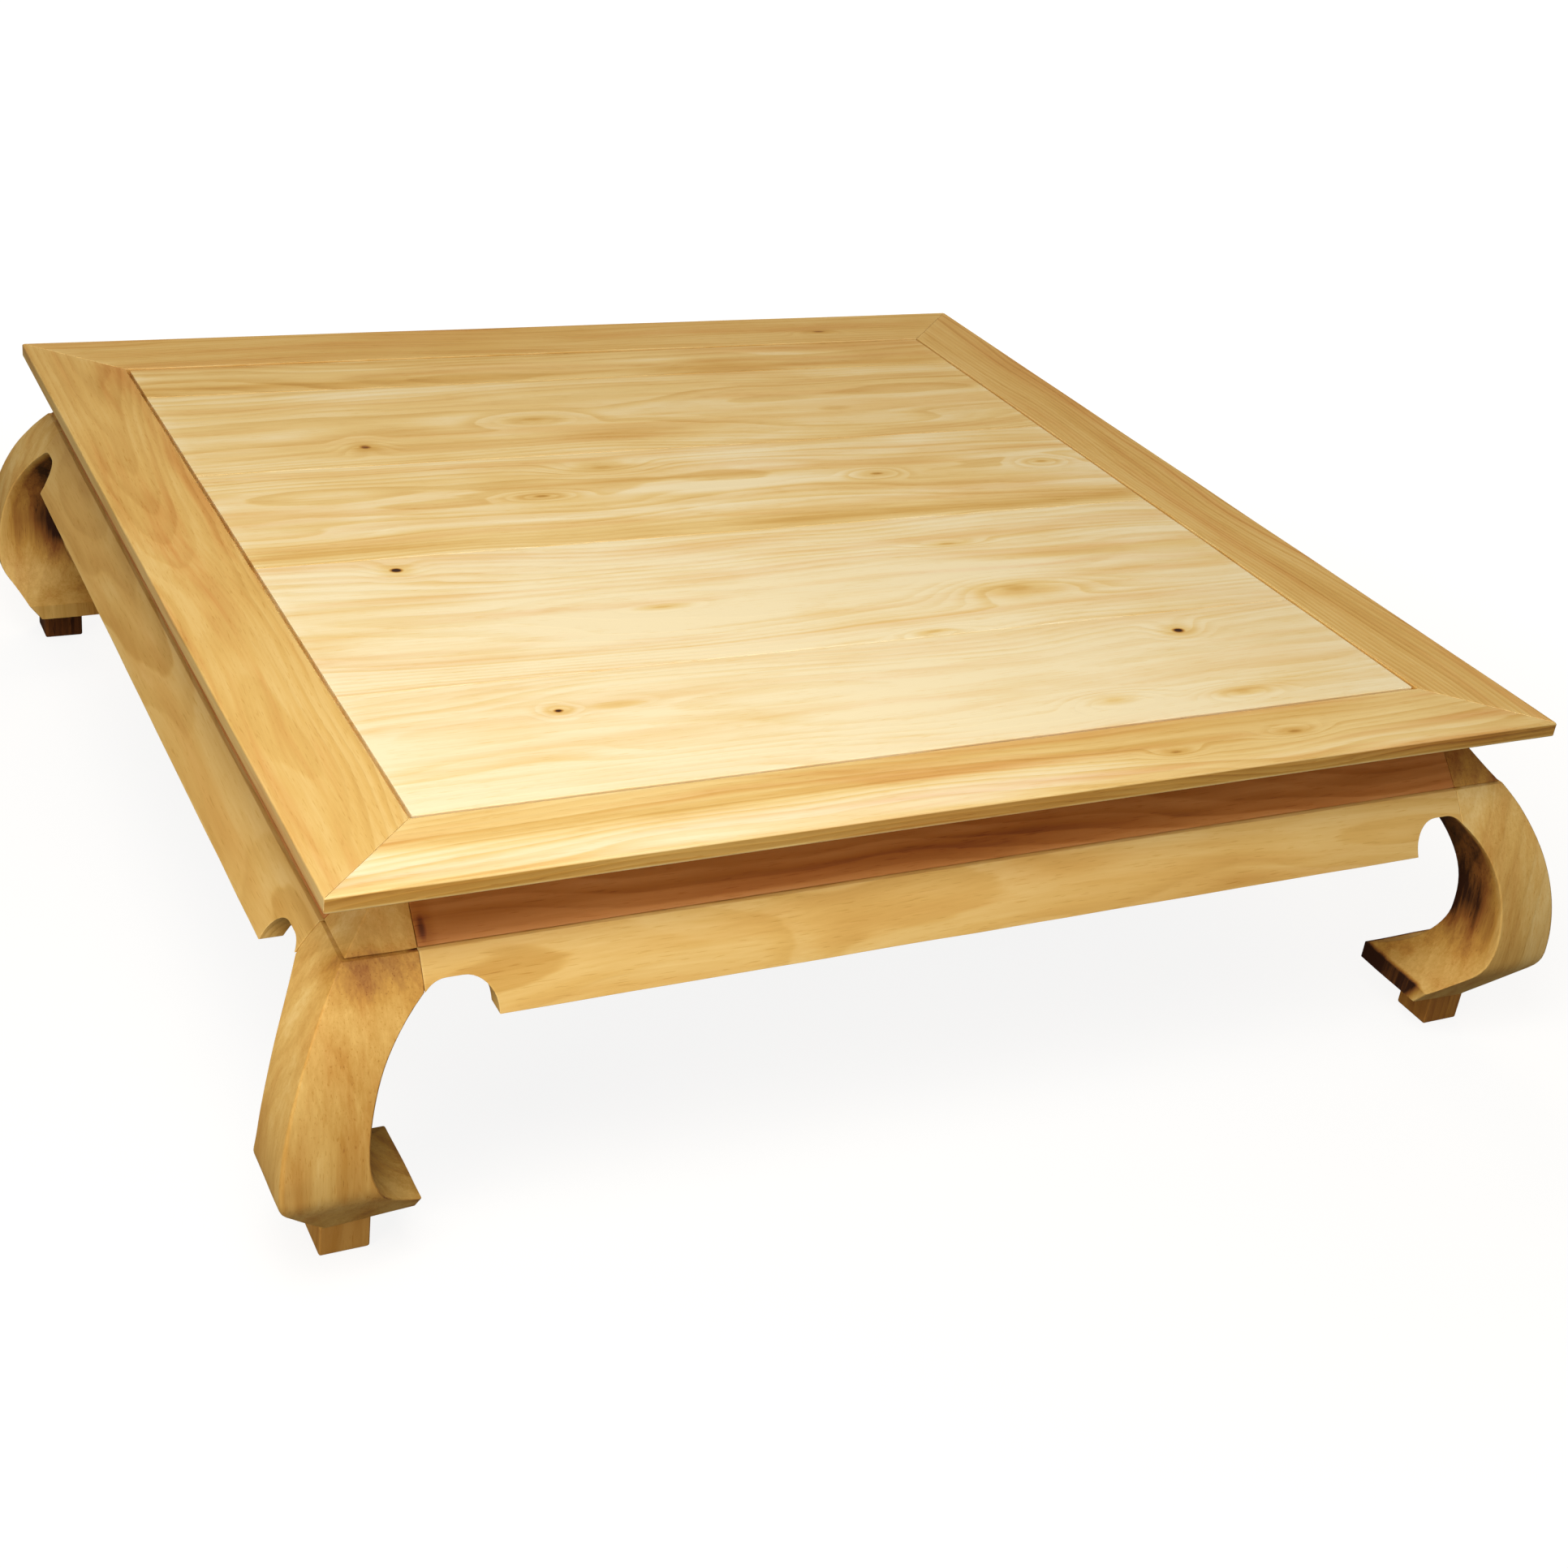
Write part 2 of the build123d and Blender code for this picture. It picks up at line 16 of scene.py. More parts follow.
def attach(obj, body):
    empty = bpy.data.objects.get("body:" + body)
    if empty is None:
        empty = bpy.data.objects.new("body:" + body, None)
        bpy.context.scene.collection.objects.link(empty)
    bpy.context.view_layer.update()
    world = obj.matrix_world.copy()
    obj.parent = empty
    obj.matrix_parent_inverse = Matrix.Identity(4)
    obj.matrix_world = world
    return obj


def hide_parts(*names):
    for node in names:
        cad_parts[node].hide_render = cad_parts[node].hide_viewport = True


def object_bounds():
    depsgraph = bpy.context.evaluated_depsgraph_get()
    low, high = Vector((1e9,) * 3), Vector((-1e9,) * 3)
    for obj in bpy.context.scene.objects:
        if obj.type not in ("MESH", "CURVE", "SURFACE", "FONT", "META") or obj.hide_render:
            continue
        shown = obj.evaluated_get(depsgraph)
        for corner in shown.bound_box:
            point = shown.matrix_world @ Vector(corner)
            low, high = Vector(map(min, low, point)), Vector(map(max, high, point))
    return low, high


bl_info = {
    "name": "Kang table",
    "version": (1, 0, 0),
    "blender": (4, 5, 0),
    "location": "3D View > Sidebar > Kang table",
    "description": "Builds a low square kang table in solid wood, one operator for each group of pieces",
    "category": "Add Mesh",
}

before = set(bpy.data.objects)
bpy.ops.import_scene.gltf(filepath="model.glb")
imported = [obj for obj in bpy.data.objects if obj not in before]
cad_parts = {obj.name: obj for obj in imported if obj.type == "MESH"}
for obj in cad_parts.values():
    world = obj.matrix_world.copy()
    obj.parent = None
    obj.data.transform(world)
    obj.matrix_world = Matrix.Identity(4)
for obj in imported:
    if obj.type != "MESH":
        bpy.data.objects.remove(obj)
CAD_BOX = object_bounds()

MM = 0.001

# top frame
HALF = 600.0                      # half the side of the square top
TOP = 345.0
RAIL_INNER = 506.0
RAIL_BOTTOM = 318.0
EDGE_LOW = 331.0                  # foot of the upright edge
EDGE_BEVEL = 25.0                 # how far the bevel under it runs in
EDGE_ROUND = 2.0
GROOVE_DEPTH, GROOVE_ROOM = 10.0, 0.3
MITRE_GAP = 0.15                  # open line at each side of a mitre

# panel
FIELD = 502.0                     # half the panel's raised field
TONGUE_REACH = 514.0
TONGUE_LOW, TONGUE_HIGH = 331.0, 338.0
BOARD_LOW = 327.0
BOARD_LINES = (-502.0, -300.0, -34.0, 193.0, 416.0, 502.0)
BEARER_LOW, BEARER_HALF_WIDTH, BEARER_HALF_LENGTH = 302.0, 22.5, 505.7

# waist, with its bevelled foot and the fine groove under it
JOINT = 517.6                     # end faces of waist boards and aprons
POST = 518.0                      # inner faces of a leg's block
WAIST_FACE, WAIST_BACK = 548.0, 534.0
BEVEL_TOP, BEVEL_FOOT = 299.0, 575.0
QUIRK_TOP, QUIRK_BACK = 271.5, 572.0

# aprons: a flat lower edge, a step and a small arch at each end
APRON_TOP, APRON_BACK = 270.0, 558.0
APRON_LOW, APRON_LEAN = 222.0, 32.0
STEP, ARCH_RADIUS, ARCH_TOP = 460.5, 25.5, 251.5
ARCH_FLAT_END, ARCH_TURN = 499.6, 25.35

# legs, from the belly down to the foot and up the hollow inside
BELLY, BELLY_HEIGHT = 640.0, 100.0
UPPER_RADIUS, TURN_RADIUS = 264.065, 32.071
TURN_END, TURN_LOW = 633.0, 80.0
HOLLOW, HOLLOW_FOOT, HOLLOW_TOP, HOLLOW_RADIUS = 569.0, 128.0, 136.0, 139.853
SPRING = 244.0                    # where the hollow meets the leg's block
TOE_RADIUS, TOE_TOP, TOE_UNDER = 73.539, 58.0, 41.0
FOOT_CORNER, FOOT_TOP = 594.0, 29.0
PAD_HALF, PAD_MIDDLE = 21.0, 573.0

SIDES = {"front": (0, -1), "back": (0, 1), "left": (-1, 0), "right": (1, 0)}
CORNERS = {"front_left": (-1, -1), "front_right": (1, -1), "back_left": (-1, 1), "back_right": (1, 1)}
BOARDS = ("panel_board_1_front", "panel_board_2_front_inner", "panel_board_3_middle",
          "panel_board_4_back_inner", "panel_board_5_back")


def linear(hex_colour):
    """An sRGB hex colour as the linear values Blender works in."""
    channels = [int(hex_colour[i:i + 2], 16) / 255 for i in (1, 3, 5)]
    return [c / 12.92 if c <= 0.04045 else ((c + 0.055) / 1.055) ** 2.4 for c in channels] + [1.0]


def colour_property(name, description, hex_colour):
    return FloatVectorProperty(name=name, description=description, subtype="COLOR", size=4,
                               min=0.0, max=1.0, default=linear(hex_colour))


# ---- what a user may change ----------------------------------------------------------------
class KangTableSizes(bpy.types.PropertyGroup):
    arris: FloatProperty(name="Arris", description="Width of the softened edges of the frame and boards",
                         subtype="DISTANCE", unit="LENGTH", default=0.0008, min=0.0002, max=0.0015)
    leg_arris: FloatProperty(name="Leg arris", description="Width of the softened edges of the legs",
                             subtype="DISTANCE", unit="LENGTH", default=0.0014, min=0.0002, max=0.003)
    plane_waver: FloatProperty(name="Plane waver", description="Unevenness left by the hand plane",
                               subtype="DISTANCE", unit="LENGTH", default=0.00025, min=0.0, max=0.001)
    carving_waver: FloatProperty(name="Carving waver", description="Unevenness of the hand-carved legs",
                                 subtype="DISTANCE", unit="LENGTH", default=0.0009, min=0.0, max=0.003)
    bearer_count: IntProperty(name="Bearers", description="Bearers under the panel", default=3, min=1, max=7)
    bearer_spacing: FloatProperty(name="Bearer spacing", description="Middle to middle of the bearers",
                                  subtype="DISTANCE", unit="LENGTH", default=0.3, min=0.1, max=0.5)
    ring_width: FloatProperty(name="Ring width", description="Growth of the tree in one year",
                              subtype="DISTANCE", unit="LENGTH", default=0.0062, min=0.002, max=0.02)


class KangTableColours(bpy.types.PropertyGroup):
    sapwood: colour_property("Sapwood", "Palest wood, near the bark", "#FDF2D0")
    straw: colour_property("Straw", "Pale early wood of the panel", "#F3D99A")
    honey: colour_property("Honey", "Main tone of the frame and apron", "#E2BC70")
    tan: colour_property("Tan", "Late wood and shaded boards", "#C99A4A")
    heartwood: colour_property("Heartwood", "Brown streaks and the waist", "#96602B")
    knot: colour_property("Knot", "Hearts of knots and open joints", "#35190A")
    # on the waist its red brown is painted shade, the reddish cast of the shade under the top; on the feet it
    # is partly real stain and partly painted shade
    stain_and_shade_tint: colour_property("Stain", "Red brown stain on the waist and feet", "#C8682A")
    blush: colour_property("Blush", "Pink tinge in bands of the wood", "#EDA173")
    floor: colour_property("Floor", "Plain pale studio floor", "#FFFFFF")


# ---- nodes ---------------------------------------------------------------------------------
def add(tree, kind, inputs=None, **settings):
    """Adds a node with its settings, and sets or links its inputs."""
    node = tree.nodes.new(kind)
    for name, value in settings.items():
        setattr(node, name, value)
    for key, value in (inputs or {}).items():
        if isinstance(value, bpy.types.NodeSocket):
            tree.links.new(value, node.inputs[key])
        else:
            node.inputs[key].default_value = value
    return node


def new_group(name, kind, inputs, outputs):
    """A node group with its sockets; returns the tree, its input node and its output node."""
    tree = bpy.data.node_groups.new(name, kind)
    for label, socket, default in inputs:
        made = tree.interface.new_socket(label, in_out="INPUT", socket_type=socket)
        if default is not None:
            made.default_value = default
    for label, socket in outputs:
        tree.interface.new_socket(label, in_out="OUTPUT", socket_type=socket)
    return tree, add(tree, "NodeGroupInput"), add(tree, "NodeGroupOutput")


def figure_group():
    """Figure of a sawn board: growth rings cut by its faces, fibres, pores and broad mottling.

    X of the vector runs along the grain, and the pith is where Y and Z are zero.
    """
    tree, start, end = new_group(
        "Wood figure", "ShaderNodeTree",
        [("Vector", "NodeSocketVector", None), ("Rings per metre", "NodeSocketFloat", 160.0),
         ("Ring strength", "NodeSocketFloat", 0.2), ("Mottle", "NodeSocketFloat", 0.2),
         ("Fibre", "NodeSocketFloat", 0.1), ("Pull", "NodeSocketFloat", 0.0)],
        [("Tone", "NodeSocketFloat"), ("Height", "NodeSocketFloat"), ("Blush", "NodeSocketFloat")])
    place = start.outputs["Vector"]
    # the pith wanders sideways by up to 30 mm over half a metre of trunk
    slow = add(tree, "ShaderNodeVectorMath", {0: place, 1: (1.5, 5.5, 5.5)}, operation="MULTIPLY")
    wander = add(tree, "ShaderNodeTexNoise", {"Vector": slow.outputs[0], "Scale": 1.0, "Detail": 2.0})
    centred = add(tree, "ShaderNodeVectorMath", {0: wander.outputs["Color"], 1: (0.5, 0.5, 0.5)},
                  operation="SUBTRACT")
    shift = add(tree, "ShaderNodeVectorMath", {0: centred.outputs[0], 1: (0.0, 0.075, 0.075)},
                operation="MULTIPLY")
    bent = add(tree, "ShaderNodeVectorMath", {0: place, 1: shift.outputs[0]}, operation="ADD")
    flat = add(tree, "ShaderNodeVectorMath", {0: bent.outputs[0], 1: (0.0, 1.0, 1.0)}, operation="MULTIPLY")
    radius = add(tree, "ShaderNodeVectorMath", {0: flat.outputs[0]}, operation="LENGTH")
    # rings are never quite round: 3 mm ripples, 40 mm apart across and 250 mm along
    close = add(tree, "ShaderNodeVectorMath", {0: place, 1: (4.0, 26.0, 26.0)}, operation="MULTIPLY")
    ripple = add(tree, "ShaderNodeTexNoise", {"Vector": close.outputs[0], "Scale": 1.0, "Detail": 3.0})
    rippled = add(tree, "ShaderNodeMath", {0: ripple.outputs["Fac"], 1: 0.009, 2: radius.outputs["Value"]},
                  operation="MULTIPLY_ADD")
    years = add(tree, "ShaderNodeMath", {0: rippled.outputs[0], 1: start.outputs["Rings per metre"],
                                         2: start.outputs["Pull"]}, operation="MULTIPLY_ADD")
    year = add(tree, "ShaderNodeMath", {0: years.outputs[0]}, operation="FLOOR")
    season = add(tree, "ShaderNodeMath", {0: years.outputs[0]}, operation="FRACT")
    # late wood darkens slowly through the season and stops short at its end
    late = add(tree, "ShaderNodeMapRange", {"Value": season.outputs[0], "From Min": 0.15, "From Max": 0.85},
               interpolation_type="SMOOTHSTEP")
    stop = add(tree, "ShaderNodeMapRange", {"Value": season.outputs[0], "From Min": 0.86, "From Max": 1.0,
                                            "To Min": 1.0, "To Max": 0.0}, interpolation_type="SMOOTHSTEP")
    ring = add(tree, "ShaderNodeMath", {0: late.outputs["Result"], 1: stop.outputs["Result"]},
               operation="MULTIPLY")
    luck = add(tree, "ShaderNodeTexWhiteNoise", {"W": year.outputs[0]}, noise_dimensions="1D")
    vigour = add(tree, "ShaderNodeMapRange", {"Value": luck.outputs["Value"], "To Min": 0.25, "To Max": 1.3})
    weighed = add(tree, "ShaderNodeMath", {0: ring.outputs[0], 1: vigour.outputs["Result"]},
                  operation="MULTIPLY")
    even = add(tree, "ShaderNodeMath", {0: weighed.outputs[0], 1: 0.35}, operation="SUBTRACT")
    rings = add(tree, "ShaderNodeMath", {0: even.outputs[0], 1: start.outputs["Ring strength"]},
                operation="MULTIPLY")
    # fibres 2 mm apart, drawn out to 100 mm
    thread = add(tree, "ShaderNodeVectorMath", {0: bent.outputs[0], 1: (9.0, 330.0, 330.0)},
                 operation="MULTIPLY")
    fibre = add(tree, "ShaderNodeTexNoise", {"Vector": thread.outputs[0], "Scale": 1.0, "Detail": 3.0,
                                             "Roughness": 0.6})
    lone = add(tree, "ShaderNodeMath", {0: fibre.outputs["Fac"], 1: 0.5}, operation="SUBTRACT")
    fibres = add(tree, "ShaderNodeMath", {0: lone.outputs[0], 1: start.outputs["Fibre"], 2: rings.outputs[0]},
                 operation="MULTIPLY_ADD")
    # pores are 0.3 mm wide in the wood, and drawn 1 mm wide and 20 mm long so that they show
    dash = add(tree, "ShaderNodeVectorMath", {0: place, 1: (48.0, 900.0, 900.0)}, operation="MULTIPLY")
    speck = add(tree, "ShaderNodeTexNoise", {"Vector": dash.outputs[0], "Scale": 1.0, "Detail": 1.0})
    pore = add(tree, "ShaderNodeMapRange", {"Value": speck.outputs["Fac"], "From Min": 0.62,
                                            "From Max": 0.74}, interpolation_type="SMOOTHSTEP")
    pores = add(tree, "ShaderNodeMath", {0: pore.outputs["Result"], 1: 0.10, 2: fibres.outputs[0]},
                operation="MULTIPLY_ADD")
    # streaks 25 mm wide and half a metre long, and cloudy patches the width of a hand
    streak_place = add(tree, "ShaderNodeVectorMath", {0: bent.outputs[0], 1: (2.2, 38.0, 38.0)},
                       operation="MULTIPLY")
    streak = add(tree, "ShaderNodeTexNoise", {"Vector": streak_place.outputs[0], "Scale": 1.0,
                                              "Detail": 3.0, "Roughness": 0.55})
    cloud_place = add(tree, "ShaderNodeVectorMath", {0: place, 1: (4.5, 11.0, 11.0)}, operation="MULTIPLY")
    cloud = add(tree, "ShaderNodeTexNoise", {"Vector": cloud_place.outputs[0], "Scale": 1.0, "Detail": 2.0})
    both = add(tree, "ShaderNodeMath", {0: streak.outputs["Fac"], 1: cloud.outputs["Fac"]}, operation="ADD")
    spread = add(tree, "ShaderNodeMath", {0: both.outputs[0], 1: 1.0}, operation="SUBTRACT")
    tone = add(tree, "ShaderNodeMath", {0: spread.outputs[0], 1: start.outputs["Mottle"],
                                        2: pores.outputs[0]}, operation="MULTIPLY_ADD")
    # pores and early wood sink a little as the wood dries
    sunk = add(tree, "ShaderNodeMath", {0: pore.outputs["Result"], 1: -0.6, 2: ring.outputs[0]},
               operation="MULTIPLY_ADD")
    height = add(tree, "ShaderNodeMath", {0: lone.outputs[0], 1: 0.8, 2: sunk.outputs[0]},
                 operation="MULTIPLY_ADD")
    blush = add(tree, "ShaderNodeMapRange", {"Value": streak.outputs["Fac"], "From Min": 0.42,
                                             "From Max": 0.75}, interpolation_type="SMOOTHSTEP")
    tree.links.new(tone.outputs[0], end.inputs["Tone"])
    tree.links.new(height.outputs[0], end.inputs["Height"])
    tree.links.new(blush.outputs["Result"], end.inputs["Blush"])
    return tree


def knot_group():
    """A knot: a dark heart, a brown halo, and a pull on the rings that pass round it."""
    tree, start, end = new_group(
        "Knot", "ShaderNodeTree",
        [("Vector", "NodeSocketVector", None), ("Centre", "NodeSocketVector", (0, 0, 0)),
         ("Reach", "NodeSocketVector", (0.02, 0.01, 0.05)), ("Heart", "NodeSocketFloat", 1.0),
         ("Pull", "NodeSocketFloat", 2.0), ("So far", "NodeSocketVector", None)],
        [("So far", "NodeSocketVector")])
    away = add(tree, "ShaderNodeVectorMath", {0: start.outputs["Vector"], 1: start.outputs["Centre"]},
               operation="SUBTRACT")
    scaled = add(tree, "ShaderNodeVectorMath", {0: away.outputs[0], 1: start.outputs["Reach"]},
                 operation="DIVIDE")
    reach = add(tree, "ShaderNodeVectorMath", {0: scaled.outputs[0]}, operation="LENGTH")
    heart = add(tree, "ShaderNodeMapRange", {"Value": reach.outputs["Value"], "From Min": 0.10,
                                             "From Max": 0.42, "To Min": 1.0, "To Max": 0.0},
                interpolation_type="SMOOTHSTEP")
    dark = add(tree, "ShaderNodeMath", {0: heart.outputs["Result"], 1: start.outputs["Heart"]},
               operation="MULTIPLY")
    halo = add(tree, "ShaderNodeMapRange", {"Value": reach.outputs["Value"], "From Min": 0.25,
                                            "From Max": 1.3, "To Min": 0.16, "To Max": 0.0},
               interpolation_type="SMOOTHSTEP")
    toned = add(tree, "ShaderNodeMath", {0: dark.outputs[0], 1: halo.outputs["Result"]}, operation="ADD")
    swell = add(tree, "ShaderNodeMapRange", {"Value": reach.outputs["Value"], "From Min": 0.0,
                                             "From Max": 2.6, "To Min": 1.0, "To Max": 0.0},
                interpolation_type="SMOOTHERSTEP")
    pull = add(tree, "ShaderNodeMath", {0: swell.outputs["Result"], 1: start.outputs["Pull"]},
               operation="MULTIPLY")
    made = add(tree, "ShaderNodeCombineXYZ", {"X": toned.outputs[0], "Y": pull.outputs[0]})
    total = add(tree, "ShaderNodeVectorMath", {0: made.outputs[0], 1: start.outputs["So far"]},
                operation="ADD")
    tree.links.new(total.outputs[0], end.inputs["So far"])
    return tree


def band_group():
    """A long band of paler or darker wood lying along the grain, soft at its edges and ends."""
    tree, start, end = new_group(
        "Band", "ShaderNodeTree",
        [("Along", "NodeSocketFloat", 0.0), ("Across", "NodeSocketFloat", 0.0),
         ("Middle", "NodeSocketFloat", 0.0), ("Width", "NodeSocketFloat", 0.02),
         ("From", "NodeSocketFloat", -1.0), ("To", "NodeSocketFloat", 1.0),
         ("Fade", "NodeSocketFloat", 0.15), ("Strength", "NodeSocketFloat", 0.2),
         ("So far", "NodeSocketVector", None)],
        [("So far", "NodeSocketVector")])
    away = add(tree, "ShaderNodeMath", {0: start.outputs["Across"], 1: start.outputs["Middle"]},
               operation="SUBTRACT")
    share = add(tree, "ShaderNodeMath", {0: away.outputs[0], 1: start.outputs["Width"]}, operation="DIVIDE")
    square = add(tree, "ShaderNodeMath", {0: share.outputs[0], 1: 2.0}, operation="POWER")
    level = add(tree, "ShaderNodeMath", {0: square.outputs[0], 1: -1.0}, operation="MULTIPLY")
    bell = add(tree, "ShaderNodeMath", {0: level.outputs[0]}, operation="EXPONENT")
    begin = add(tree, "ShaderNodeMath", {0: start.outputs["From"], 1: start.outputs["Fade"]}, operation="ADD")
    stop = add(tree, "ShaderNodeMath", {0: start.outputs["To"], 1: start.outputs["Fade"]},
               operation="SUBTRACT")
    rise = add(tree, "ShaderNodeMapRange", {"Value": start.outputs["Along"],
                                            "From Min": start.outputs["From"],
                                            "From Max": begin.outputs[0]}, interpolation_type="SMOOTHSTEP")
    fall = add(tree, "ShaderNodeMapRange", {"Value": start.outputs["Along"], "From Min": stop.outputs[0],
                                            "From Max": start.outputs["To"], "To Min": 1.0, "To Max": 0.0},
               interpolation_type="SMOOTHSTEP")
    window = add(tree, "ShaderNodeMath", {0: rise.outputs["Result"], 1: fall.outputs["Result"]},
                 operation="MULTIPLY")
    shaped = add(tree, "ShaderNodeMath", {0: bell.outputs[0], 1: window.outputs[0]}, operation="MULTIPLY")
    made = add(tree, "ShaderNodeMath", {0: shaped.outputs[0], 1: start.outputs["Strength"]},
               operation="MULTIPLY")
    packed = add(tree, "ShaderNodeCombineXYZ", {"X": made.outputs[0]})
    total = add(tree, "ShaderNodeVectorMath", {0: packed.outputs[0], 1: start.outputs["So far"]},
                operation="ADD")
    tree.links.new(total.outputs[0], end.inputs["So far"])
    return tree


def group(name, maker):
    """The node group of that name, made when it is first asked for."""
    return bpy.data.node_groups.get(name) or maker()


# turns that bring a piece's grain on to X
ALONG_X, ALONG_Y, ALONG_Z = (0.0, 0.0, 0.0), (0.0, 0.0, -90.0), (0.0, 90.0, 0.0)


def wood(name, grain=ALONG_X, pith=(0.0, 0.0, -70.0), tilt=(0.0, 0.0), tone=0.35, rings=0.2, mottle=0.3,
         fibre=0.16, blush=0.12, roughness=0.42, ring_width=1.0, knots=(), bands=(), edge_wear_and_shade=0.10,
         stain_and_shade_tint=0.0):
    """Solid hardwood, sawn, hand planed and oiled.

    The eye gets growth rings as loops and long streaks, fine fibres and pores along the grain,
    a satin shine broken up by the rings, paler rubbed edges, and the shade attribute: painted shade
    in recesses, under overhangs and on faces turned from the light, and a tone of its own on each bearer and
    pad.
    A knot is (centre, reach, darkness of its heart, pull on the rings), and a band is
    (middle across the grain, width, start and end along the grain, strength).
    """
    sizes, colours = bpy.context.scene.kang_sizes, bpy.context.scene.kang_colours
    material = bpy.data.materials.new(name)
    material.use_nodes = True
    tree = material.node_tree
    tree.nodes.clear()
    place = add(tree, "ShaderNodeTexCoord").outputs["Object"]
    turned = add(tree, "ShaderNodeMapping", {"Vector": place, "Rotation": [radians(a) for a in grain]})
    lean = (0.0, radians(tilt[0]), radians(tilt[1]))
    laid = add(tree, "ShaderNodeMapping", {"Vector": turned.outputs[0], "Rotation": lean,
                                           "Location": [-v * MM for v in pith]})
    so_far = (0.0, 0.0, 0.0)
    for centre, reach, heart, pull in knots:
        knot = add(tree, "ShaderNodeGroup", {
            "Vector": place, "Centre": [v * MM for v in centre], "Reach": [v * MM for v in reach],
            "Heart": heart, "Pull": pull, "So far": so_far}, node_tree=group("Knot", knot_group))
        so_far = knot.outputs["So far"]
    if bands:
        # bands stray by a few millimetres from a straight line
        slow = add(tree, "ShaderNodeVectorMath", {0: turned.outputs[0], 1: (3.5, 14.0, 14.0)},
                   operation="MULTIPLY")
        stray = add(tree, "ShaderNodeTexNoise", {"Vector": slow.outputs[0], "Scale": 1.0, "Detail": 3.0})
        apart = add(tree, "ShaderNodeSeparateXYZ", {0: turned.outputs[0]})
        wavy = add(tree, "ShaderNodeMath", {0: stray.outputs["Fac"], 1: 0.022, 2: apart.outputs["Y"]},
                   operation="MULTIPLY_ADD")
        across = add(tree, "ShaderNodeMath", {0: wavy.outputs[0], 1: 0.011}, operation="SUBTRACT")
    for middle, width, begin, stop, strength in bands:
        band = add(tree, "ShaderNodeGroup", {
            "Along": apart.outputs["X"], "Across": across.outputs[0], "Middle": middle * MM,
            "Width": width * MM, "From": begin * MM, "To": stop * MM, "Strength": strength,
            "So far": so_far}, node_tree=group("Band", band_group))
        so_far = band.outputs["So far"]
    figure = add(tree, "ShaderNodeGroup", {
        "Vector": laid.outputs[0], "Rings per metre": 1 / (sizes.ring_width * ring_width),
        "Ring strength": rings, "Mottle": mottle, "Fibre": fibre},
        node_tree=group("Wood figure", figure_group))
    base = add(tree, "ShaderNodeMath", {0: figure.outputs["Tone"], 1: tone}, operation="ADD").outputs[0]
    if knots or bands:
        marks = add(tree, "ShaderNodeSeparateXYZ", {0: so_far})
        tree.links.new(marks.outputs["Y"], figure.inputs["Pull"])
        base = add(tree, "ShaderNodeMath", {0: base, 1: marks.outputs["X"]}, operation="ADD").outputs[0]
    # the shade attribute darkens the wood as painted shade, and as a tone of its own on bearers and pads;
    # rubbed edges go paler with wear, and darker as painted shade where that amount is below zero
    shade = add(tree, "ShaderNodeAttribute", attribute_name="shade").outputs["Fac"]
    rub = add(tree, "ShaderNodeAttribute", attribute_name="rub").outputs["Fac"]
    rubbed = add(tree, "ShaderNodeMath", {0: rub, 1: -edge_wear_and_shade, 2: base}, operation="MULTIPLY_ADD")
    shaded = add(tree, "ShaderNodeMath", {0: shade, 1: 1.0, 2: rubbed.outputs[0]}, operation="MULTIPLY_ADD")
    ramp = add(tree, "ShaderNodeValToRGB", {"Fac": shaded.outputs[0]})
    stops = ((0.0, colours.sapwood), (0.2, colours.straw), (0.4, colours.honey), (0.6, colours.tan),
             (0.82, colours.heartwood), (1.0, colours.knot))
    while len(ramp.color_ramp.elements) < len(stops):
        ramp.color_ramp.elements.new(0.5)
    for element, (position, colour) in zip(ramp.color_ramp.elements, stops):
        element.position = position
        element.color = colour[:]
    flush = add(tree, "ShaderNodeMath", {0: figure.outputs["Blush"], 1: blush}, operation="MULTIPLY")
    tinged = add(tree, "ShaderNodeMix", {"Factor": flush.outputs[0], "A": ramp.outputs["Color"],
                                         "B": colours.blush[:]}, data_type="RGBA", blend_type="MULTIPLY")
    stained = add(tree, "ShaderNodeMix", {"Factor": stain_and_shade_tint, "A": tinged.outputs["Result"],
                                          "B": colours.stain_and_shade_tint[:]}, data_type="RGBA", blend_type="MULTIPLY")
    gloss = add(tree, "ShaderNodeMapRange", {"Value": figure.outputs["Height"], "From Min": -0.6,
                                             "From Max": 1.2, "To Min": roughness + 0.10,
                                             "To Max": roughness - 0.05})
    bump = add(tree, "ShaderNodeBump", {"Strength": 0.35, "Distance": 0.0003,
                                        "Height": figure.outputs["Height"]})
    shader = add(tree, "ShaderNodeBsdfPrincipled", {
        "Base Color": stained.outputs["Result"], "Roughness": gloss.outputs["Result"],
        "Normal": bump.outputs["Normal"], "IOR": 1.5})
    add(tree, "ShaderNodeOutputMaterial", {"Surface": shader.outputs["BSDF"]})
    return material


# ---- meshes --------------------------------------------------------------------------------
def size_mm(name):
    """One of the sizes a user may change, in millimetres."""
    return getattr(bpy.context.scene.kang_sizes, name) / MM


def clamped(value):
    return min(1.0, max(0.0, value))


def arc(middle, radius, start, stop, count):
    """Points on an arc, angles in degrees from the first axis."""
    steps = [radians(start + (stop - start) * i / count) for i in range(count + 1)]
    return [(middle[0] + radius * cos(a), middle[1] + radius * sin(a)) for a in steps]


def dense(outline, step):
    """The same closed outline with no two neighbouring points further apart than step."""
    points = []
    for here, there in zip(outline, outline[1:] + outline[:1]):
        count = max(1, round(hypot(there[0] - here[0], there[1] - here[1]) / step))
        points += [(here[0] + (there[0] - here[0]) * i / count, here[1] + (there[1] - here[1]) * i / count)
                   for i in range(count)]
    return points


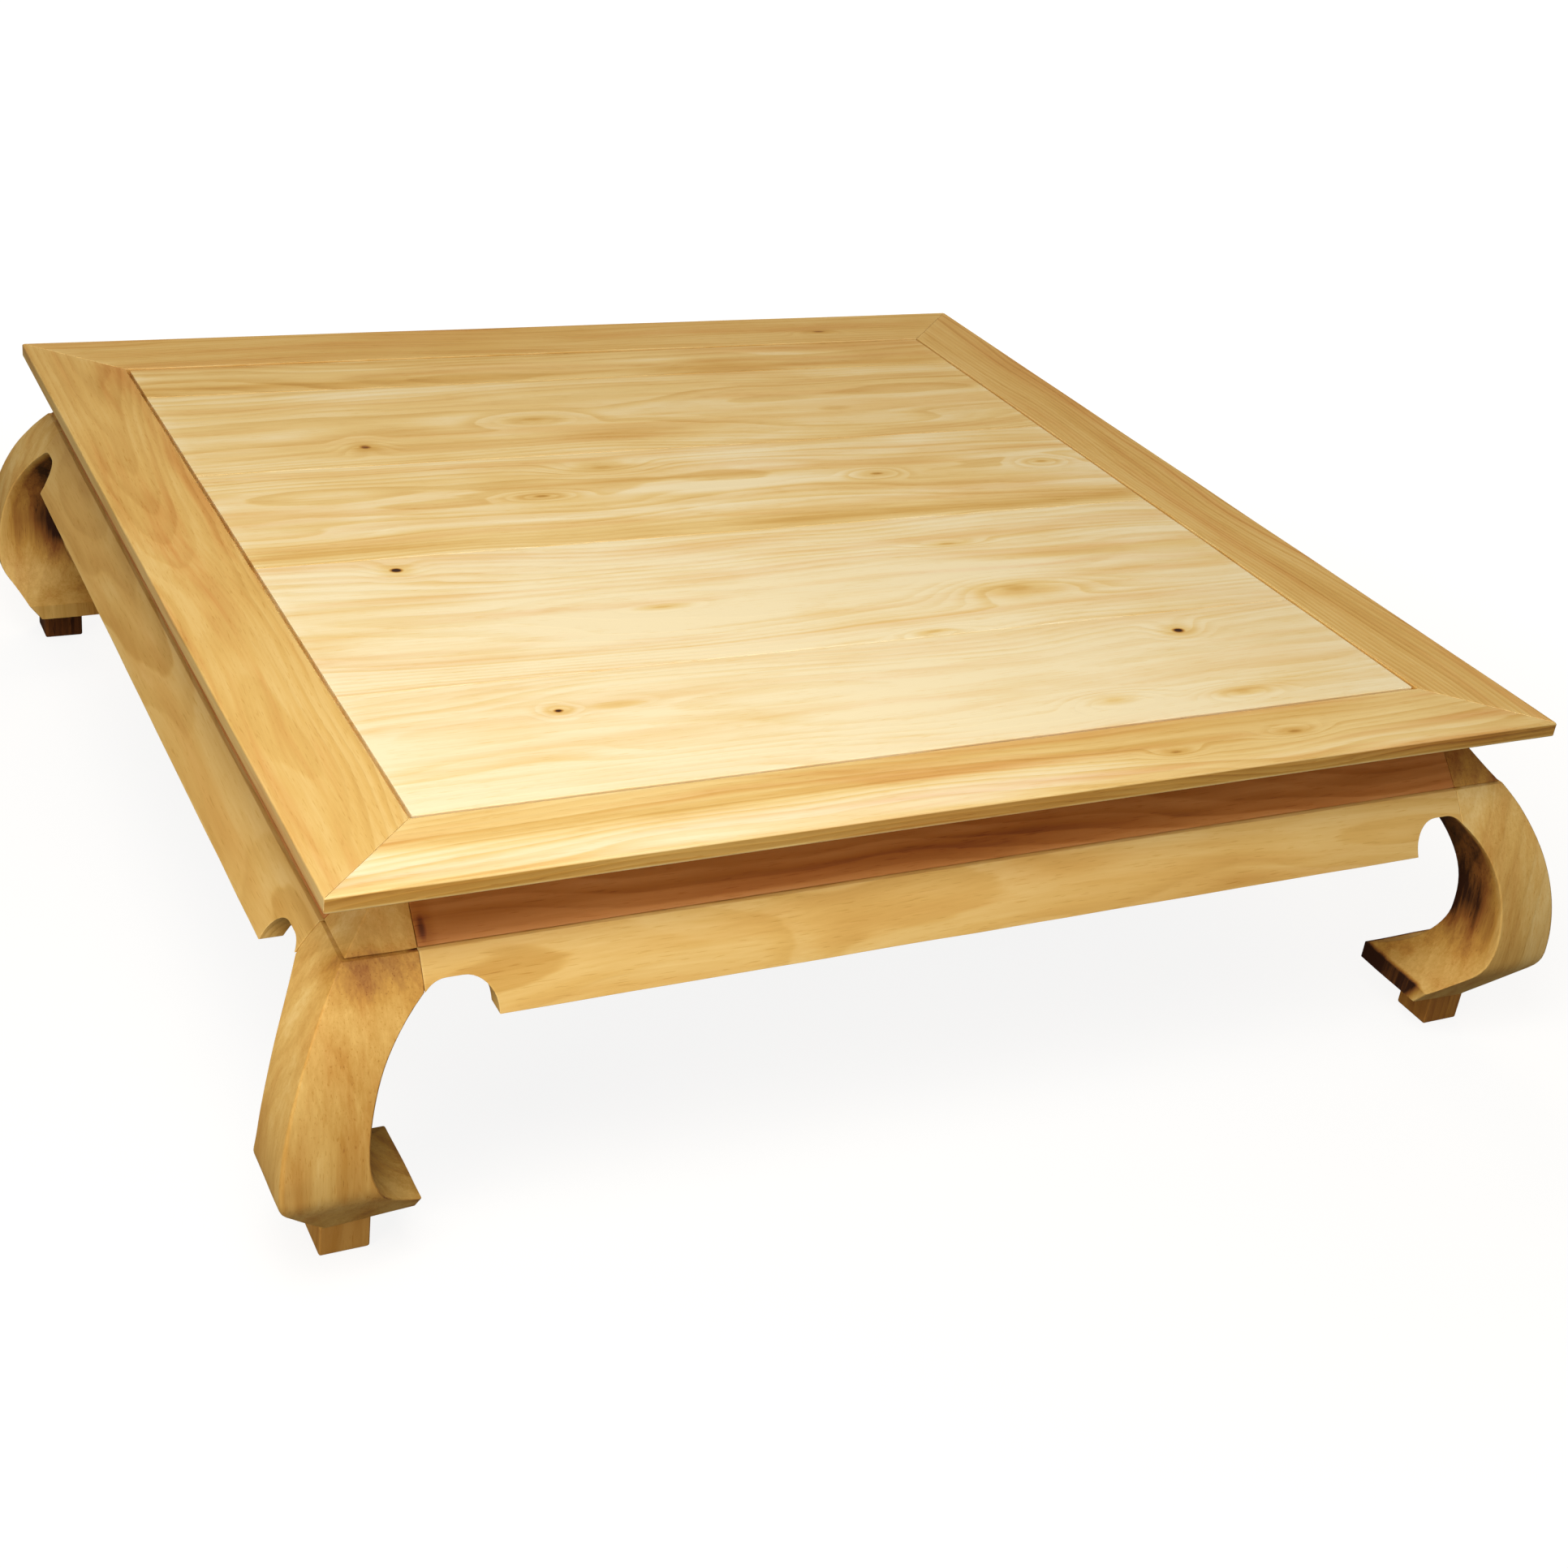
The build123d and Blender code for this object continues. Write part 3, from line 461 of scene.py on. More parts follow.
def stations(low, high, step):
    """Even places from low to high, about a step apart."""
    return np.linspace(low, high, max(2, round((high - low) / step) + 1))


def loft(rings):
    """A closed body through rings that all have the same number of points."""
    bm = bmesh.new()
    rows = [[bm.verts.new(p) for p in ring] for ring in rings]
    for near, far in zip(rows, rows[1:]):
        for i in range(len(near)):
            j = (i + 1) % len(near)
            bm.faces.new((near[i], near[j], far[j], far[i]))
    bm.faces.new(rows[0])
    bm.faces.new(rows[-1])
    return bm


def side_point(side, along, d, z):
    """A point given along a side, outwards from the middle and up."""
    x, y = SIDES[side]
    if x:
        return (x * d, along, z)
    return (along, y * d, z)


def soften(bm, width, limit=33):
    """Rounds every edge that is sharper than limit degrees."""
    bmesh.ops.remove_doubles(bm, verts=bm.verts, dist=0.005)
    bmesh.ops.dissolve_degenerate(bm, edges=bm.edges, dist=0.005)
    bmesh.ops.recalc_face_normals(bm, faces=bm.faces)
    sharp = [e for e in bm.edges if len(e.link_faces) == 2 and e.calc_face_angle(0) > radians(limit)]
    bmesh.ops.bevel(bm, geom=sharp, offset=width, segments=2, profile=0.5, affect="EDGES",
                    clamp_overlap=True)
    bmesh.ops.triangulate(bm, faces=[f for f in bm.faces if len(f.verts) > 4])


def waver(point, amount, length):
    """A smooth hand-made deviation, the same for every piece at the same place."""
    p = Vector(point) / length
    return noise.noise_vector(p) * amount


def finish(name, bm, material, nodes, arris, uneven=0.0, length=90.0, shade=None):
    """Turns a body in millimetres into a piece that rides on the frame and stands for its nodes."""
    soften(bm, arris)
    # edges that turn outwards by more than 0.25 rad are rubbed, and fully from 0.7 rad on
    rub = []
    for v in bm.verts:
        turn = max((e.calc_face_angle_signed(0) for e in v.link_edges if len(e.link_faces) == 2), default=0)
        rub.append(clamped((turn - 0.25) / 0.45))
    # painted shade from the piece's own shade function, one value at each corner of the mesh
    dark = [shade(v.co) if shade else 0.0 for v in bm.verts]
    low, high = (np.array(corner) / MM for corner in CAD_BOX)
    for v in bm.verts:
        v.co = v.co + waver(v.co, uneven, length)
        v.co = [min(max(c, lo), hi) * MM for c, lo, hi in zip(v.co, low, high)]
    mesh = bpy.data.meshes.new(name)
    bm.to_mesh(mesh)
    bm.free()
    for label, values in (("rub", rub), ("shade", dark)):
        layer = mesh.attributes.new(label, "FLOAT", "POINT")
        layer.data.foreach_set("value", values)
    even_normals(mesh)
    mesh.materials.append(material)
    piece = bpy.data.objects.new(name, mesh)
    bpy.context.scene.collection.objects.link(piece)
    settle(piece, nodes)


def even_normals(mesh):
    """Shades each softened edge as a round, and leaves the wide faces beside it flat."""
    mesh.shade_smooth()
    total = np.zeros((len(mesh.vertices), 3))
    for face in mesh.polygons:
        push = np.array(face.normal) * face.area
        for v in face.vertices:
            total[v] += push
    size = np.linalg.norm(total, axis=1, keepdims=True)
    mesh.normals_split_custom_set_from_vertices(total / np.maximum(size, 1e-12))


def settle(piece, nodes):
    """Nothing on the table moves, so every piece rides on the root."""
    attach(piece, "root")
    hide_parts(*nodes)


# ---- top frame -----------------------------------------------------------------------------
def rail_outline():
    """Section of a rail as (d, z): rounded top arris, upright edge, bevel below, groove inside."""
    corner = arc((HALF - EDGE_ROUND, TOP - EDGE_ROUND), EDGE_ROUND, 90, 0, 4)
    low, high, end = TONGUE_LOW - GROOVE_ROOM, TONGUE_HIGH + GROOVE_ROOM, RAIL_INNER + GROOVE_DEPTH
    rest = [(HALF, EDGE_LOW + 2.5), (HALF, EDGE_LOW), (HALF - EDGE_BEVEL, RAIL_BOTTOM),
            (RAIL_INNER, RAIL_BOTTOM), (RAIL_INNER, low), (end, low), (end, high), (RAIL_INNER, high),
            (RAIL_INNER, TOP)]
    return dense(corner + rest, 7.5)


def make_rail(side, material, edge_shade):
    """Rail mitred at 45 degrees: each point of the section runs out to its own distance."""
    outline = rail_outline()
    rings = [[side_point(side, t * (d - MITRE_GAP), d, z) for d, z in outline]
             for t in stations(-1, 1, 2 / 64)]

    def shade(p):
        # painted shade on the inner wall down in the gap round the panel, on the bevel under the edge and on
        # the upright edge
        d = max(abs(p.x), abs(p.y))
        if d < RAIL_INNER + 0.5:
            return 0.2 if p.z < TOP - 1 else 0.0
        # both arrises of the edge are kept out of the painted shade and pale with wear, so they stand out
        # bright, partly as a painted highlight
        if p.z > TOP - 1.5 or (d > HALF - 2 and p.z < EDGE_LOW + 1):
            return 0.0
        return edge_shade if d > HALF - 1 else 0.22
    finish(f"top_rail_{side}_wood", loft(rings), material, [f"top_rail_{side}"],
           size_mm("arris"), size_mm("plane_waver"), 120.0, shade)


# ---- panel ---------------------------------------------------------------------------------
def board_section(front, back, low, high, chip, tongue_front, tongue_back, x):
    """One ring of a board at x. Its tongues stick out at the panel's front and back edges."""
    ring = [(front, low)]
    ring += [(front + (back - front) * i / 16, low) for i in range(1, 16)] + [(back, low)]
    ring += [(back, TONGUE_LOW), (back + tongue_back, TONGUE_LOW), (back + tongue_back, TONGUE_HIGH),
             (back, TONGUE_HIGH), (back, high - chip), (back - chip, high)]
    ring += [(back + (front - back) * i / 24, high) for i in range(1, 24)]
    ring += [(front + chip, high), (front, high - chip), (front, TONGUE_HIGH),
             (front - tongue_front, TONGUE_HIGH), (front - tongue_front, TONGUE_LOW), (front, TONGUE_LOW)]
    return [(x, y, z) for y, z in ring]


def make_board(index, material):
    """Board with broken edges, its face a touch lower at the seams than in the middle."""
    seam, chip, cup = 0.1, 0.6, 0.3
    first, last = index == 0, index == len(BOARDS) - 1
    front = BOARD_LINES[index] + (0 if first else seam)
    back = BOARD_LINES[index + 1] - (0 if last else seam)
    tongue = TONGUE_REACH - FIELD
    tongues = (tongue if first else 0, tongue if last else 0)
    ends = [board_section(front, back, TONGUE_LOW, TONGUE_HIGH, 0.0, *tongues, x)
            for x in (-TONGUE_REACH, -FIELD)]
    field = [board_section(front, back, BOARD_LOW, TOP, chip, *tongues, x)
             for x in stations(-FIELD, FIELD, 14)]
    far = [board_section(front, back, TONGUE_LOW, TONGUE_HIGH, 0.0, *tongues, x)
           for x in (FIELD, TONGUE_REACH)]
    bm = loft(ends + field + far)
    middle, half = (front + back) / 2, (back - front) / 2
    for v in bm.verts:
        if v.co.z > TOP - 2:
            v.co.z -= cup * min(1.0, abs(v.co.y - middle) / half) ** 2

    def shade(p):
        # painted shade on the tongue and the board ends down in the gap round the panel
        return 0.22 if p.z < TONGUE_HIGH + 1 and max(abs(p.x), abs(p.y)) > FIELD - 1 else 0.0
    finish(f"{BOARDS[index]}_wood", bm, material, [BOARDS[index]],
           0.35, size_mm("plane_waver"), 110.0, shade)


# ---- waist ---------------------------------------------------------------------------------
def make_waist(side, material):
    """Upright board over a bevelled foot, which overhangs a fine groove."""
    outline = dense([(WAIST_FACE, RAIL_BOTTOM), (WAIST_FACE, BEVEL_TOP), (BEVEL_FOOT, QUIRK_TOP),
                     (QUIRK_BACK, QUIRK_TOP), (QUIRK_BACK, APRON_TOP), (WAIST_BACK, APRON_TOP),
                     (WAIST_BACK, RAIL_BOTTOM)], 6.0)
    rings = [[side_point(side, x, d, z) for d, z in outline] for x in stations(-JOINT, JOINT, 18)]

    def shade(p):
        # painted light on the foot of the bevel, where the shade of the top ends, and painted shade under the
        # top and on the back
        d = max(abs(p.x), abs(p.y))
        if p.z < QUIRK_TOP + 3 and d > BEVEL_FOOT - 4:
            return -0.10
        return 0.12 if p.z > RAIL_BOTTOM - 8 or d < WAIST_BACK + 1 else 0.0
    finish(f"waist_board_{side}_wood", loft(rings), material, [f"waist_board_{side}"],
           0.5, size_mm("plane_waver"), 90.0, shade)


# ---- aprons --------------------------------------------------------------------------------
def face_at(z):
    """Outer face of apron and leg above the belly."""
    return BELLY - UPPER_RADIUS + sqrt(UPPER_RADIUS ** 2 - (z - BELLY_HEIGHT) ** 2)


def apron_back_at(z):
    """Back of an apron, which leans out as its face does."""
    return APRON_BACK + APRON_LEAN * (APRON_TOP - z) / (APRON_TOP - APRON_LOW)


def arch_columns():
    """(x, z) of the arch's lower edge from the step out to the leg."""
    low = ARCH_TOP - ARCH_RADIUS
    centre = STEP + ARCH_RADIUS
    quarter = [(centre - ARCH_RADIUS * cos(a), low + ARCH_RADIUS * sin(a))
               for a in np.linspace(0, pi / 2, 11)]
    run = JOINT - ARCH_FLAT_END
    turn_end = np.arcsin(run / ARCH_TURN)
    turn = [(ARCH_FLAT_END + ARCH_TURN * sin(a), ARCH_TOP - ARCH_TURN * (1 - cos(a)))
            for a in np.linspace(0, turn_end, 7)]
    return quarter + [((quarter[-1][0] + turn[0][0]) / 2, ARCH_TOP)] + turn


def make_apron(side, material):
    """Front, back, lower and upper faces on one grid of columns; the step has a row of its own."""
    rows = 9
    arch = arch_columns()
    middle = [(x, ARCH_TOP - ARCH_RADIUS) for x in stations(-STEP, STEP, 16)[1:-1]]
    columns = [(-x, z) for x, z in reversed(arch)] + middle + arch
    first, last = len(arch) - 1, len(columns) - len(arch)      # columns at the two steps
    bm = bmesh.new()
    grids = []
    for face in (face_at, apron_back_at):
        grids.append([[bm.verts.new(side_point(side, x, face(z), z))
                       for z in np.linspace(low, APRON_TOP, rows)] for x, low in columns])
    front, back = grids
    for i in range(len(columns) - 1):
        for j in range(rows - 1):
            bm.faces.new((front[i][j], front[i + 1][j], front[i + 1][j + 1], front[i][j + 1]))
            bm.faces.new((back[i][j], back[i][j + 1], back[i + 1][j + 1], back[i + 1][j]))
        bm.faces.new((front[i][-1], front[i + 1][-1], back[i + 1][-1], back[i][-1]))
        if not first <= i < last:
            bm.faces.new((front[i][0], back[i][0], back[i + 1][0], front[i + 1][0]))
    for end in (0, -1):
        for j in range(rows - 1):
            bm.faces.new((front[end][j], front[end][j + 1], back[end][j + 1], back[end][j]))
    foot = [[bm.verts.new(side_point(side, columns[i][0], face(APRON_LOW), APRON_LOW))
             for i in range(first, last + 1)] for face in (face_at, apron_back_at)]
    for i in range(last - first):
        bm.faces.new((foot[0][i], foot[0][i + 1], front[first + i + 1][0], front[first + i][0]))
        bm.faces.new((foot[1][i], foot[1][i + 1], back[first + i + 1][0], back[first + i][0]))
        bm.faces.new((foot[0][i], foot[0][i + 1], foot[1][i + 1], foot[1][i]))
    for i, j in ((0, first), (-1, last)):
        bm.faces.new((foot[0][i], foot[1][i], back[j][0], front[j][0]))

    def shade(p):
        # painted shade on the back of the apron and on the underside of its arches
        d = max(abs(p.x), abs(p.y))
        inside = d < apron_back_at(p.z) + 4
        under = p.z > APRON_LOW + 3 and d < face_at(p.z) - 2 and not inside
        return 0.16 if inside else (0.10 if under else 0.0)
    # shaped with a spokeshave, so a little less even than the planed pieces
    finish(f"apron_{side}_wood", bm, material, [f"apron_{side}"], 0.7,
           size_mm("plane_waver") * 1.4, 70.0, shade)


# ---- legs ----------------------------------------------------------------------------------
def leg_outer(z):
    """Outer faces of a leg: the straight run up from the foot, the short turn, then the long curve."""
    if z < TURN_LOW:
        return FOOT_CORNER + (z - FOOT_TOP) * (TURN_END - FOOT_CORNER) / (TURN_LOW - FOOT_TOP)
    radius = UPPER_RADIUS if z > BELLY_HEIGHT else TURN_RADIUS
    return BELLY - radius + sqrt(radius ** 2 - (z - BELLY_HEIGHT) ** 2)


def leg_inner(z):
    """Inner face of a leg: underside of the toe, its end, the scoop, the hollow and the block."""
    if z < TOE_UNDER:
        return FOOT_CORNER - (z - FOOT_TOP) * (FOOT_CORNER - POST) / (TOE_UNDER - FOOT_TOP)
    if z < TOE_TOP or z > SPRING:
        return POST
    if z < HOLLOW_FOOT:
        return HOLLOW - TOE_RADIUS + sqrt(TOE_RADIUS ** 2 - (HOLLOW_FOOT - z) ** 2)
    if z < HOLLOW_TOP:
        return HOLLOW
    return HOLLOW - HOLLOW_RADIUS + sqrt(HOLLOW_RADIUS ** 2 - (z - HOLLOW_TOP) ** 2)


def leg_stations():
    """(height, inner, outer) of each square section of a leg, from the foot to the frame."""
    heights = list(np.linspace(FOOT_TOP + 0.6, TOE_UNDER, 8)) + [TOE_UNDER + 5, TOE_UNDER + 10]
    toe_end = np.arcsin((HOLLOW_FOOT - TOE_TOP) / TOE_RADIUS)
    heights += [HOLLOW_FOOT - TOE_RADIUS * sin(a) for a in np.linspace(toe_end, 0, 17)]
    heights += list(np.linspace(HOLLOW_TOP, SPRING, 15)) + [250.0, 257.0, 264.0, APRON_TOP]
    found = [(z, leg_inner(z), leg_outer(z)) for z in heights]
    # the block carries the waist's groove, bevel and upright face round the corner
    found += [(APRON_TOP, POST, QUIRK_BACK), (QUIRK_TOP, POST, QUIRK_BACK), (QUIRK_TOP, POST, BEVEL_FOOT)]
    for t in (0.33, 0.67, 1.0):
        found.append((QUIRK_TOP + (BEVEL_TOP - QUIRK_TOP) * t, POST,
                      BEVEL_FOOT + (WAIST_FACE - BEVEL_FOOT) * t))
    found += [(308.0, POST, WAIST_FACE), (RAIL_BOTTOM, POST, WAIST_FACE)]
    return found


def rounded_square(low, high, outer, cheek, inner):
    """Plan of a leg, counted from the outer corner; the three radii are for its corners."""
    room = (high - low) * 0.45
    corners = (((high, high), min(outer, room), 0), ((low, high), min(cheek, room), 90),
               ((low, low), min(inner, room), 180), ((high, low), min(cheek, room), 270))
    turns = []
    for (x, y), radius, start in corners:
        middle = (x - radius if x == high else x + radius, y - radius if y == high else y + radius)
        turns.append(arc(middle, radius, start, start + 90, 4))
    points = []
    for turn, after in zip(turns, turns[1:] + turns[:1]):
        points += turn
        (x0, y0), (x1, y1) = turn[-1], after[0]
        points += [(x0 + (x1 - x0) * i / 6, y0 + (y1 - y0) * i / 6) for i in range(1, 6)]
    return points


def make_leg(corner, material, block_shade, toe_shade):
    """Leg of square sections, rounder at the foot's outer corner than higher up."""
    x_sign, y_sign = CORNERS[corner]
    rings = []
    for z, low, high in leg_stations():
        block = z > SPRING + 1
        outer = 1.2 if block else 5.5 - 3.5 * clamped((z - 60.0) / 140.0)
        cheek = 0.5 if block else 1.8
        plan = rounded_square(low, high, outer, cheek, cheek)
        rings.append([(x_sign * x, y_sign * y, z) for x, y in plan])

    def shade(p):
        x, y = abs(p.x), abs(p.y)
        # painted shade: the block above the apron's top takes block_shade, the end of the toe takes toe_shade
        if p.z > APRON_TOP + 0.5:
            return block_shade
        if min(x, y) > leg_inner(p.z) + 2.5 or max(x, y) > leg_outer(p.z) - 5:
            return 0.0
        if p.z < TOE_TOP + 0.2:
            return toe_shade
        # painted shade, darkest deep in the hollow and where it runs up under the apron
        depth = min(1.0, (leg_outer(p.z) - max(x, y)) / (leg_outer(p.z) - leg_inner(p.z)))
        up = clamped((p.z - 85.0) / 60.0)
        top = clamped((p.z - 185.0) / 35.0)
        darkest = 0.58
        return min(darkest, 0.16 * depth + (0.14 + 0.42 * depth) * up + 0.30 * top)
    finish(f"leg_{corner}_wood", loft(rings), material, [f"leg_{corner}"],
           size_mm("leg_arris"), size_mm("carving_waver"), 55.0, shade)


# ---- repeated pieces, set out by geometry nodes --------------------------------------------
def coat(tree, start, end, instances):
    """Ends a tree: the instances become plain geometry in the piece's own material."""
    real = add(tree, "GeometryNodeRealizeInstances", {"Geometry": instances})
    coated = add(tree, "GeometryNodeSetMaterial", {"Geometry": real.outputs["Geometry"],
                                                   "Material": start.outputs["Material"]})
    tree.links.new(coated.outputs["Geometry"], end.inputs["Geometry"])


def tone_each(tree, start, instances):
    """Gives each instance a tone of its own, and returns the instances."""
    luck = add(tree, "FunctionNodeRandomValue", {2: 0.0, 3: start.outputs["Tone range"],
                                                 "Seed": start.outputs["Seed"]}, data_type="FLOAT")
    named = add(tree, "GeometryNodeStoreNamedAttribute", {
        "Geometry": instances, "Name": "shade", "Value": luck.outputs[1]},
        data_type="FLOAT", domain="INSTANCE")
    return named.outputs["Geometry"]


def bearer_tree():
    """Bearers in a row, with a value of its own on each so that no two look alike."""
    tree, start, end = new_group(
        "Bearers in a row", "GeometryNodeTree",
        [("Geometry", "NodeSocketGeometry", None), ("Count", "NodeSocketInt", 3),
         ("Spacing", "NodeSocketFloat", 0.3), ("Seed", "NodeSocketInt", 4),
         ("Tone range", "NodeSocketFloat", 0.12), ("Material", "NodeSocketMaterial", None)],
        [("Geometry", "NodeSocketGeometry")])
    less = add(tree, "ShaderNodeMath", {0: start.outputs["Count"], 1: 1.0}, operation="SUBTRACT")
    half = add(tree, "ShaderNodeMath", {0: less.outputs[0], 1: -0.5}, operation="MULTIPLY")
    first = add(tree, "ShaderNodeMath", {0: half.outputs[0], 1: start.outputs["Spacing"]},
                operation="MULTIPLY")
    begin = add(tree, "ShaderNodeCombineXYZ", {"X": first.outputs[0]})
    pitch = add(tree, "ShaderNodeCombineXYZ", {"X": start.outputs["Spacing"]})
    row = add(tree, "GeometryNodeMeshLine", {"Count": start.outputs["Count"],
                                             "Start Location": begin.outputs[0],
                                             "Offset": pitch.outputs[0]})
    placed = add(tree, "GeometryNodeInstanceOnPoints", {"Points": row.outputs["Mesh"],
                                                        "Instance": start.outputs["Geometry"]})
    coat(tree, start, end, tone_each(tree, start, placed.outputs["Instances"]))
    return tree


def corner_tree():
    """One piece at each corner of a square, its X turned outwards and its tone its own."""
    tree, start, end = new_group(
        "One at each corner", "GeometryNodeTree",
        [("Geometry", "NodeSocketGeometry", None), ("Square", "NodeSocketFloat", 1.14),
         ("Tone range", "NodeSocketFloat", 0.4), ("Seed", "NodeSocketInt", 1),
         ("Material", "NodeSocketMaterial", None)], [("Geometry", "NodeSocketGeometry")])
    square = add(tree, "GeometryNodeMeshGrid", {"Size X": start.outputs["Square"],
                                                "Size Y": start.outputs["Square"],
                                                "Vertices X": 2, "Vertices Y": 2})
    where = add(tree, "GeometryNodeInputPosition")
    aimed = add(tree, "FunctionNodeAlignRotationToVector", {"Vector": where.outputs[0]}, axis="X",
                pivot_axis="Z")
    placed = add(tree, "GeometryNodeInstanceOnPoints", {
        "Points": square.outputs["Mesh"], "Instance": start.outputs["Geometry"],
        "Rotation": aimed.outputs["Rotation"]})
    coat(tree, start, end, tone_each(tree, start, placed.outputs["Instances"]))
    return tree


def pin_tree():
    """Round pins with chamfered ends, one on each point, laid along the point's aim."""
    tree, start, end = new_group(
        "Pins on points", "GeometryNodeTree",
        [("Geometry", "NodeSocketGeometry", None), ("Radius", "NodeSocketFloat", 0.0025),
         ("Length", "NodeSocketFloat", 0.054), ("Chamfer", "NodeSocketFloat", 0.0006),
         ("Sides", "NodeSocketInt", 16), ("Material", "NodeSocketMaterial", None)],
        [("Geometry", "NodeSocketGeometry")])
    half = add(tree, "ShaderNodeMath", {0: start.outputs["Length"], 1: 0.5}, operation="MULTIPLY")
    shoulder = add(tree, "ShaderNodeMath", {0: half.outputs[0], 1: start.outputs["Chamfer"]},
                   operation="SUBTRACT")
    slim = add(tree, "ShaderNodeMath", {0: start.outputs["Radius"], 1: start.outputs["Chamfer"]},
               operation="SUBTRACT")
    # a body and two short cones share their rims, so that welding makes one closed pin
    body_length = add(tree, "ShaderNodeMath", {0: shoulder.outputs[0], 1: 2.0}, operation="MULTIPLY")
    body = add(tree, "GeometryNodeMeshCylinder", {
        "Vertices": start.outputs["Sides"], "Radius": start.outputs["Radius"],
        "Depth": body_length.outputs[0]}, fill_type="NONE")
    parts = [body.outputs["Mesh"]]
    for sign in (-1.0, 1.0):
        lift = add(tree, "ShaderNodeMath", {0: shoulder.outputs[0], 1: sign}, operation="MULTIPLY")
        offset = add(tree, "ShaderNodeCombineXYZ", {"Z": lift.outputs[0]})
        tip = add(tree, "GeometryNodeMeshCone", {
            "Vertices": start.outputs["Sides"], "Radius Top": slim.outputs[0],
            "Radius Bottom": start.outputs["Radius"], "Depth": start.outputs["Chamfer"]}, fill_type="NGON")
        flipped = add(tree, "GeometryNodeTransform", {
            "Geometry": tip.outputs["Mesh"], "Translation": offset.outputs[0],
            "Rotation": (0.0 if sign > 0 else pi, 0.0, 0.0)})
        parts.append(flipped.outputs["Geometry"])
    joined = add(tree, "GeometryNodeJoinGeometry")
    for part in parts:
        tree.links.new(part, joined.inputs["Geometry"])
    welded = add(tree, "GeometryNodeMergeByDistance", {"Geometry": joined.outputs["Geometry"],
                                                       "Distance": 0.00002})
    aim = add(tree, "GeometryNodeInputNamedAttribute", {"Name": "aim"}, data_type="FLOAT_VECTOR")
    aimed = add(tree, "FunctionNodeAlignRotationToVector", {"Vector": aim.outputs["Attribute"]}, axis="Z")
    placed = add(tree, "GeometryNodeInstanceOnPoints", {
        "Points": start.outputs["Geometry"], "Instance": welded.outputs["Geometry"],
        "Rotation": aimed.outputs["Rotation"]})
    coat(tree, start, end, placed.outputs["Instances"])
    return tree


def bearer_body():
    """One bearer, lying along Y in the middle of the row."""
    outline = dense([(-BEARER_HALF_WIDTH, BEARER_LOW), (BEARER_HALF_WIDTH, BEARER_LOW),
                     (BEARER_HALF_WIDTH, BOARD_LOW), (-BEARER_HALF_WIDTH, BOARD_LOW)], 9)
    return loft([[(x, y, z) for x, z in outline]
                 for y in stations(-BEARER_HALF_LENGTH, BEARER_HALF_LENGTH, 40)])


def foot_pad_body():
    """One pad, turned so that its outer corner points along X; its top follows the leg's underside."""
    slope = (TOE_UNDER - FOOT_TOP) / (FOOT_CORNER - POST)
    turn = -pi / 4
    joint = 0.05          # hair line between pad and leg
    foot_share = 0.955    # its foot is drawn in a little

    def spun(x, y, z):
        return (x * cos(turn) - y * sin(turn), x * sin(turn) + y * cos(turn), z)

    def seat(x, y):
        return FOOT_TOP + (PAD_HALF - min(x, y)) * slope
    plan = rounded_square(-PAD_HALF, PAD_HALF, 1.5, 1.5, 1.5)
    rings = [[spun(x * foot_share, y * foot_share, 0.0) for x, y in plan]]
    for share in (0.05, 0.2, 0.4, 0.6, 0.8, 0.97):
        rings.append([spun(x, y, seat(x, y) * share) for x, y in plan])
    rings.append([spun(x, y, seat(x, y) - joint) for x, y in plan])
    bm = loft(rings)
    # the crown is a fan round its own middle, because its rim isn't flat
    crown = max((f for f in bm.faces if len(f.verts) > 4), key=lambda f: f.calc_center_median().z)
    bmesh.ops.poke(bm, faces=[crown])
    top = max((v for v in bm.verts if len(v.link_edges) == len(plan)), key=lambda v: v.co.z)
    top.co = (0.0, 0.0, seat(0, 0) - joint)
    return bm


def set_out(name, seed_mesh, tree, values, nodes):
    """Runs a geometry nodes tree on a mesh and keeps the result as one plain piece."""
    worker = bpy.data.objects.new(name + "_seed", seed_mesh)
    bpy.context.scene.collection.objects.link(worker)
    modifier = worker.modifiers.new("Set out", "NODES")
    modifier.node_group = tree
    for item in tree.interface.items_tree:
        if item.item_type == "SOCKET" and item.in_out == "INPUT" and item.name in values:
            modifier[item.identifier] = values[item.name]
    graph = bpy.context.evaluated_depsgraph_get()
    mesh = bpy.data.meshes.new_from_object(worker.evaluated_get(graph))
    worker.modifiers.remove(modifier)
    bpy.data.objects.remove(worker)
    if not len(mesh.polygons):
        raise RuntimeError(f"{name}: the geometry nodes made no faces")
    mesh.name = name
    even_normals(mesh)
    piece = bpy.data.objects.new(name, mesh)
    bpy.context.scene.collection.objects.link(piece)
    settle(piece, nodes)


def template(name, bm, arris):
    """A body in millimetres as a mesh for the trees to repeat."""
    soften(bm, arris)
    for v in bm.verts:
        v.co = v.co * MM
    mesh = bpy.data.meshes.new(name)
    bm.to_mesh(mesh)
    bm.free()
    layer = mesh.attributes.new("rub", "FLOAT", "POINT")
    layer.data.foreach_set("value", [0.0] * len(mesh.vertices))
    return mesh


def point_mesh(name, points, aims):
    """Loose points, each with the way a pin on it is to lie."""
    mesh = bpy.data.meshes.new(name)
    mesh.from_pydata([[v * MM for v in p] for p in points], [], [])
    layer = mesh.attributes.new("aim", "FLOAT_VECTOR", "POINT")
    layer.data.foreach_set("vector", [v for aim in aims for v in aim])
    return mesh


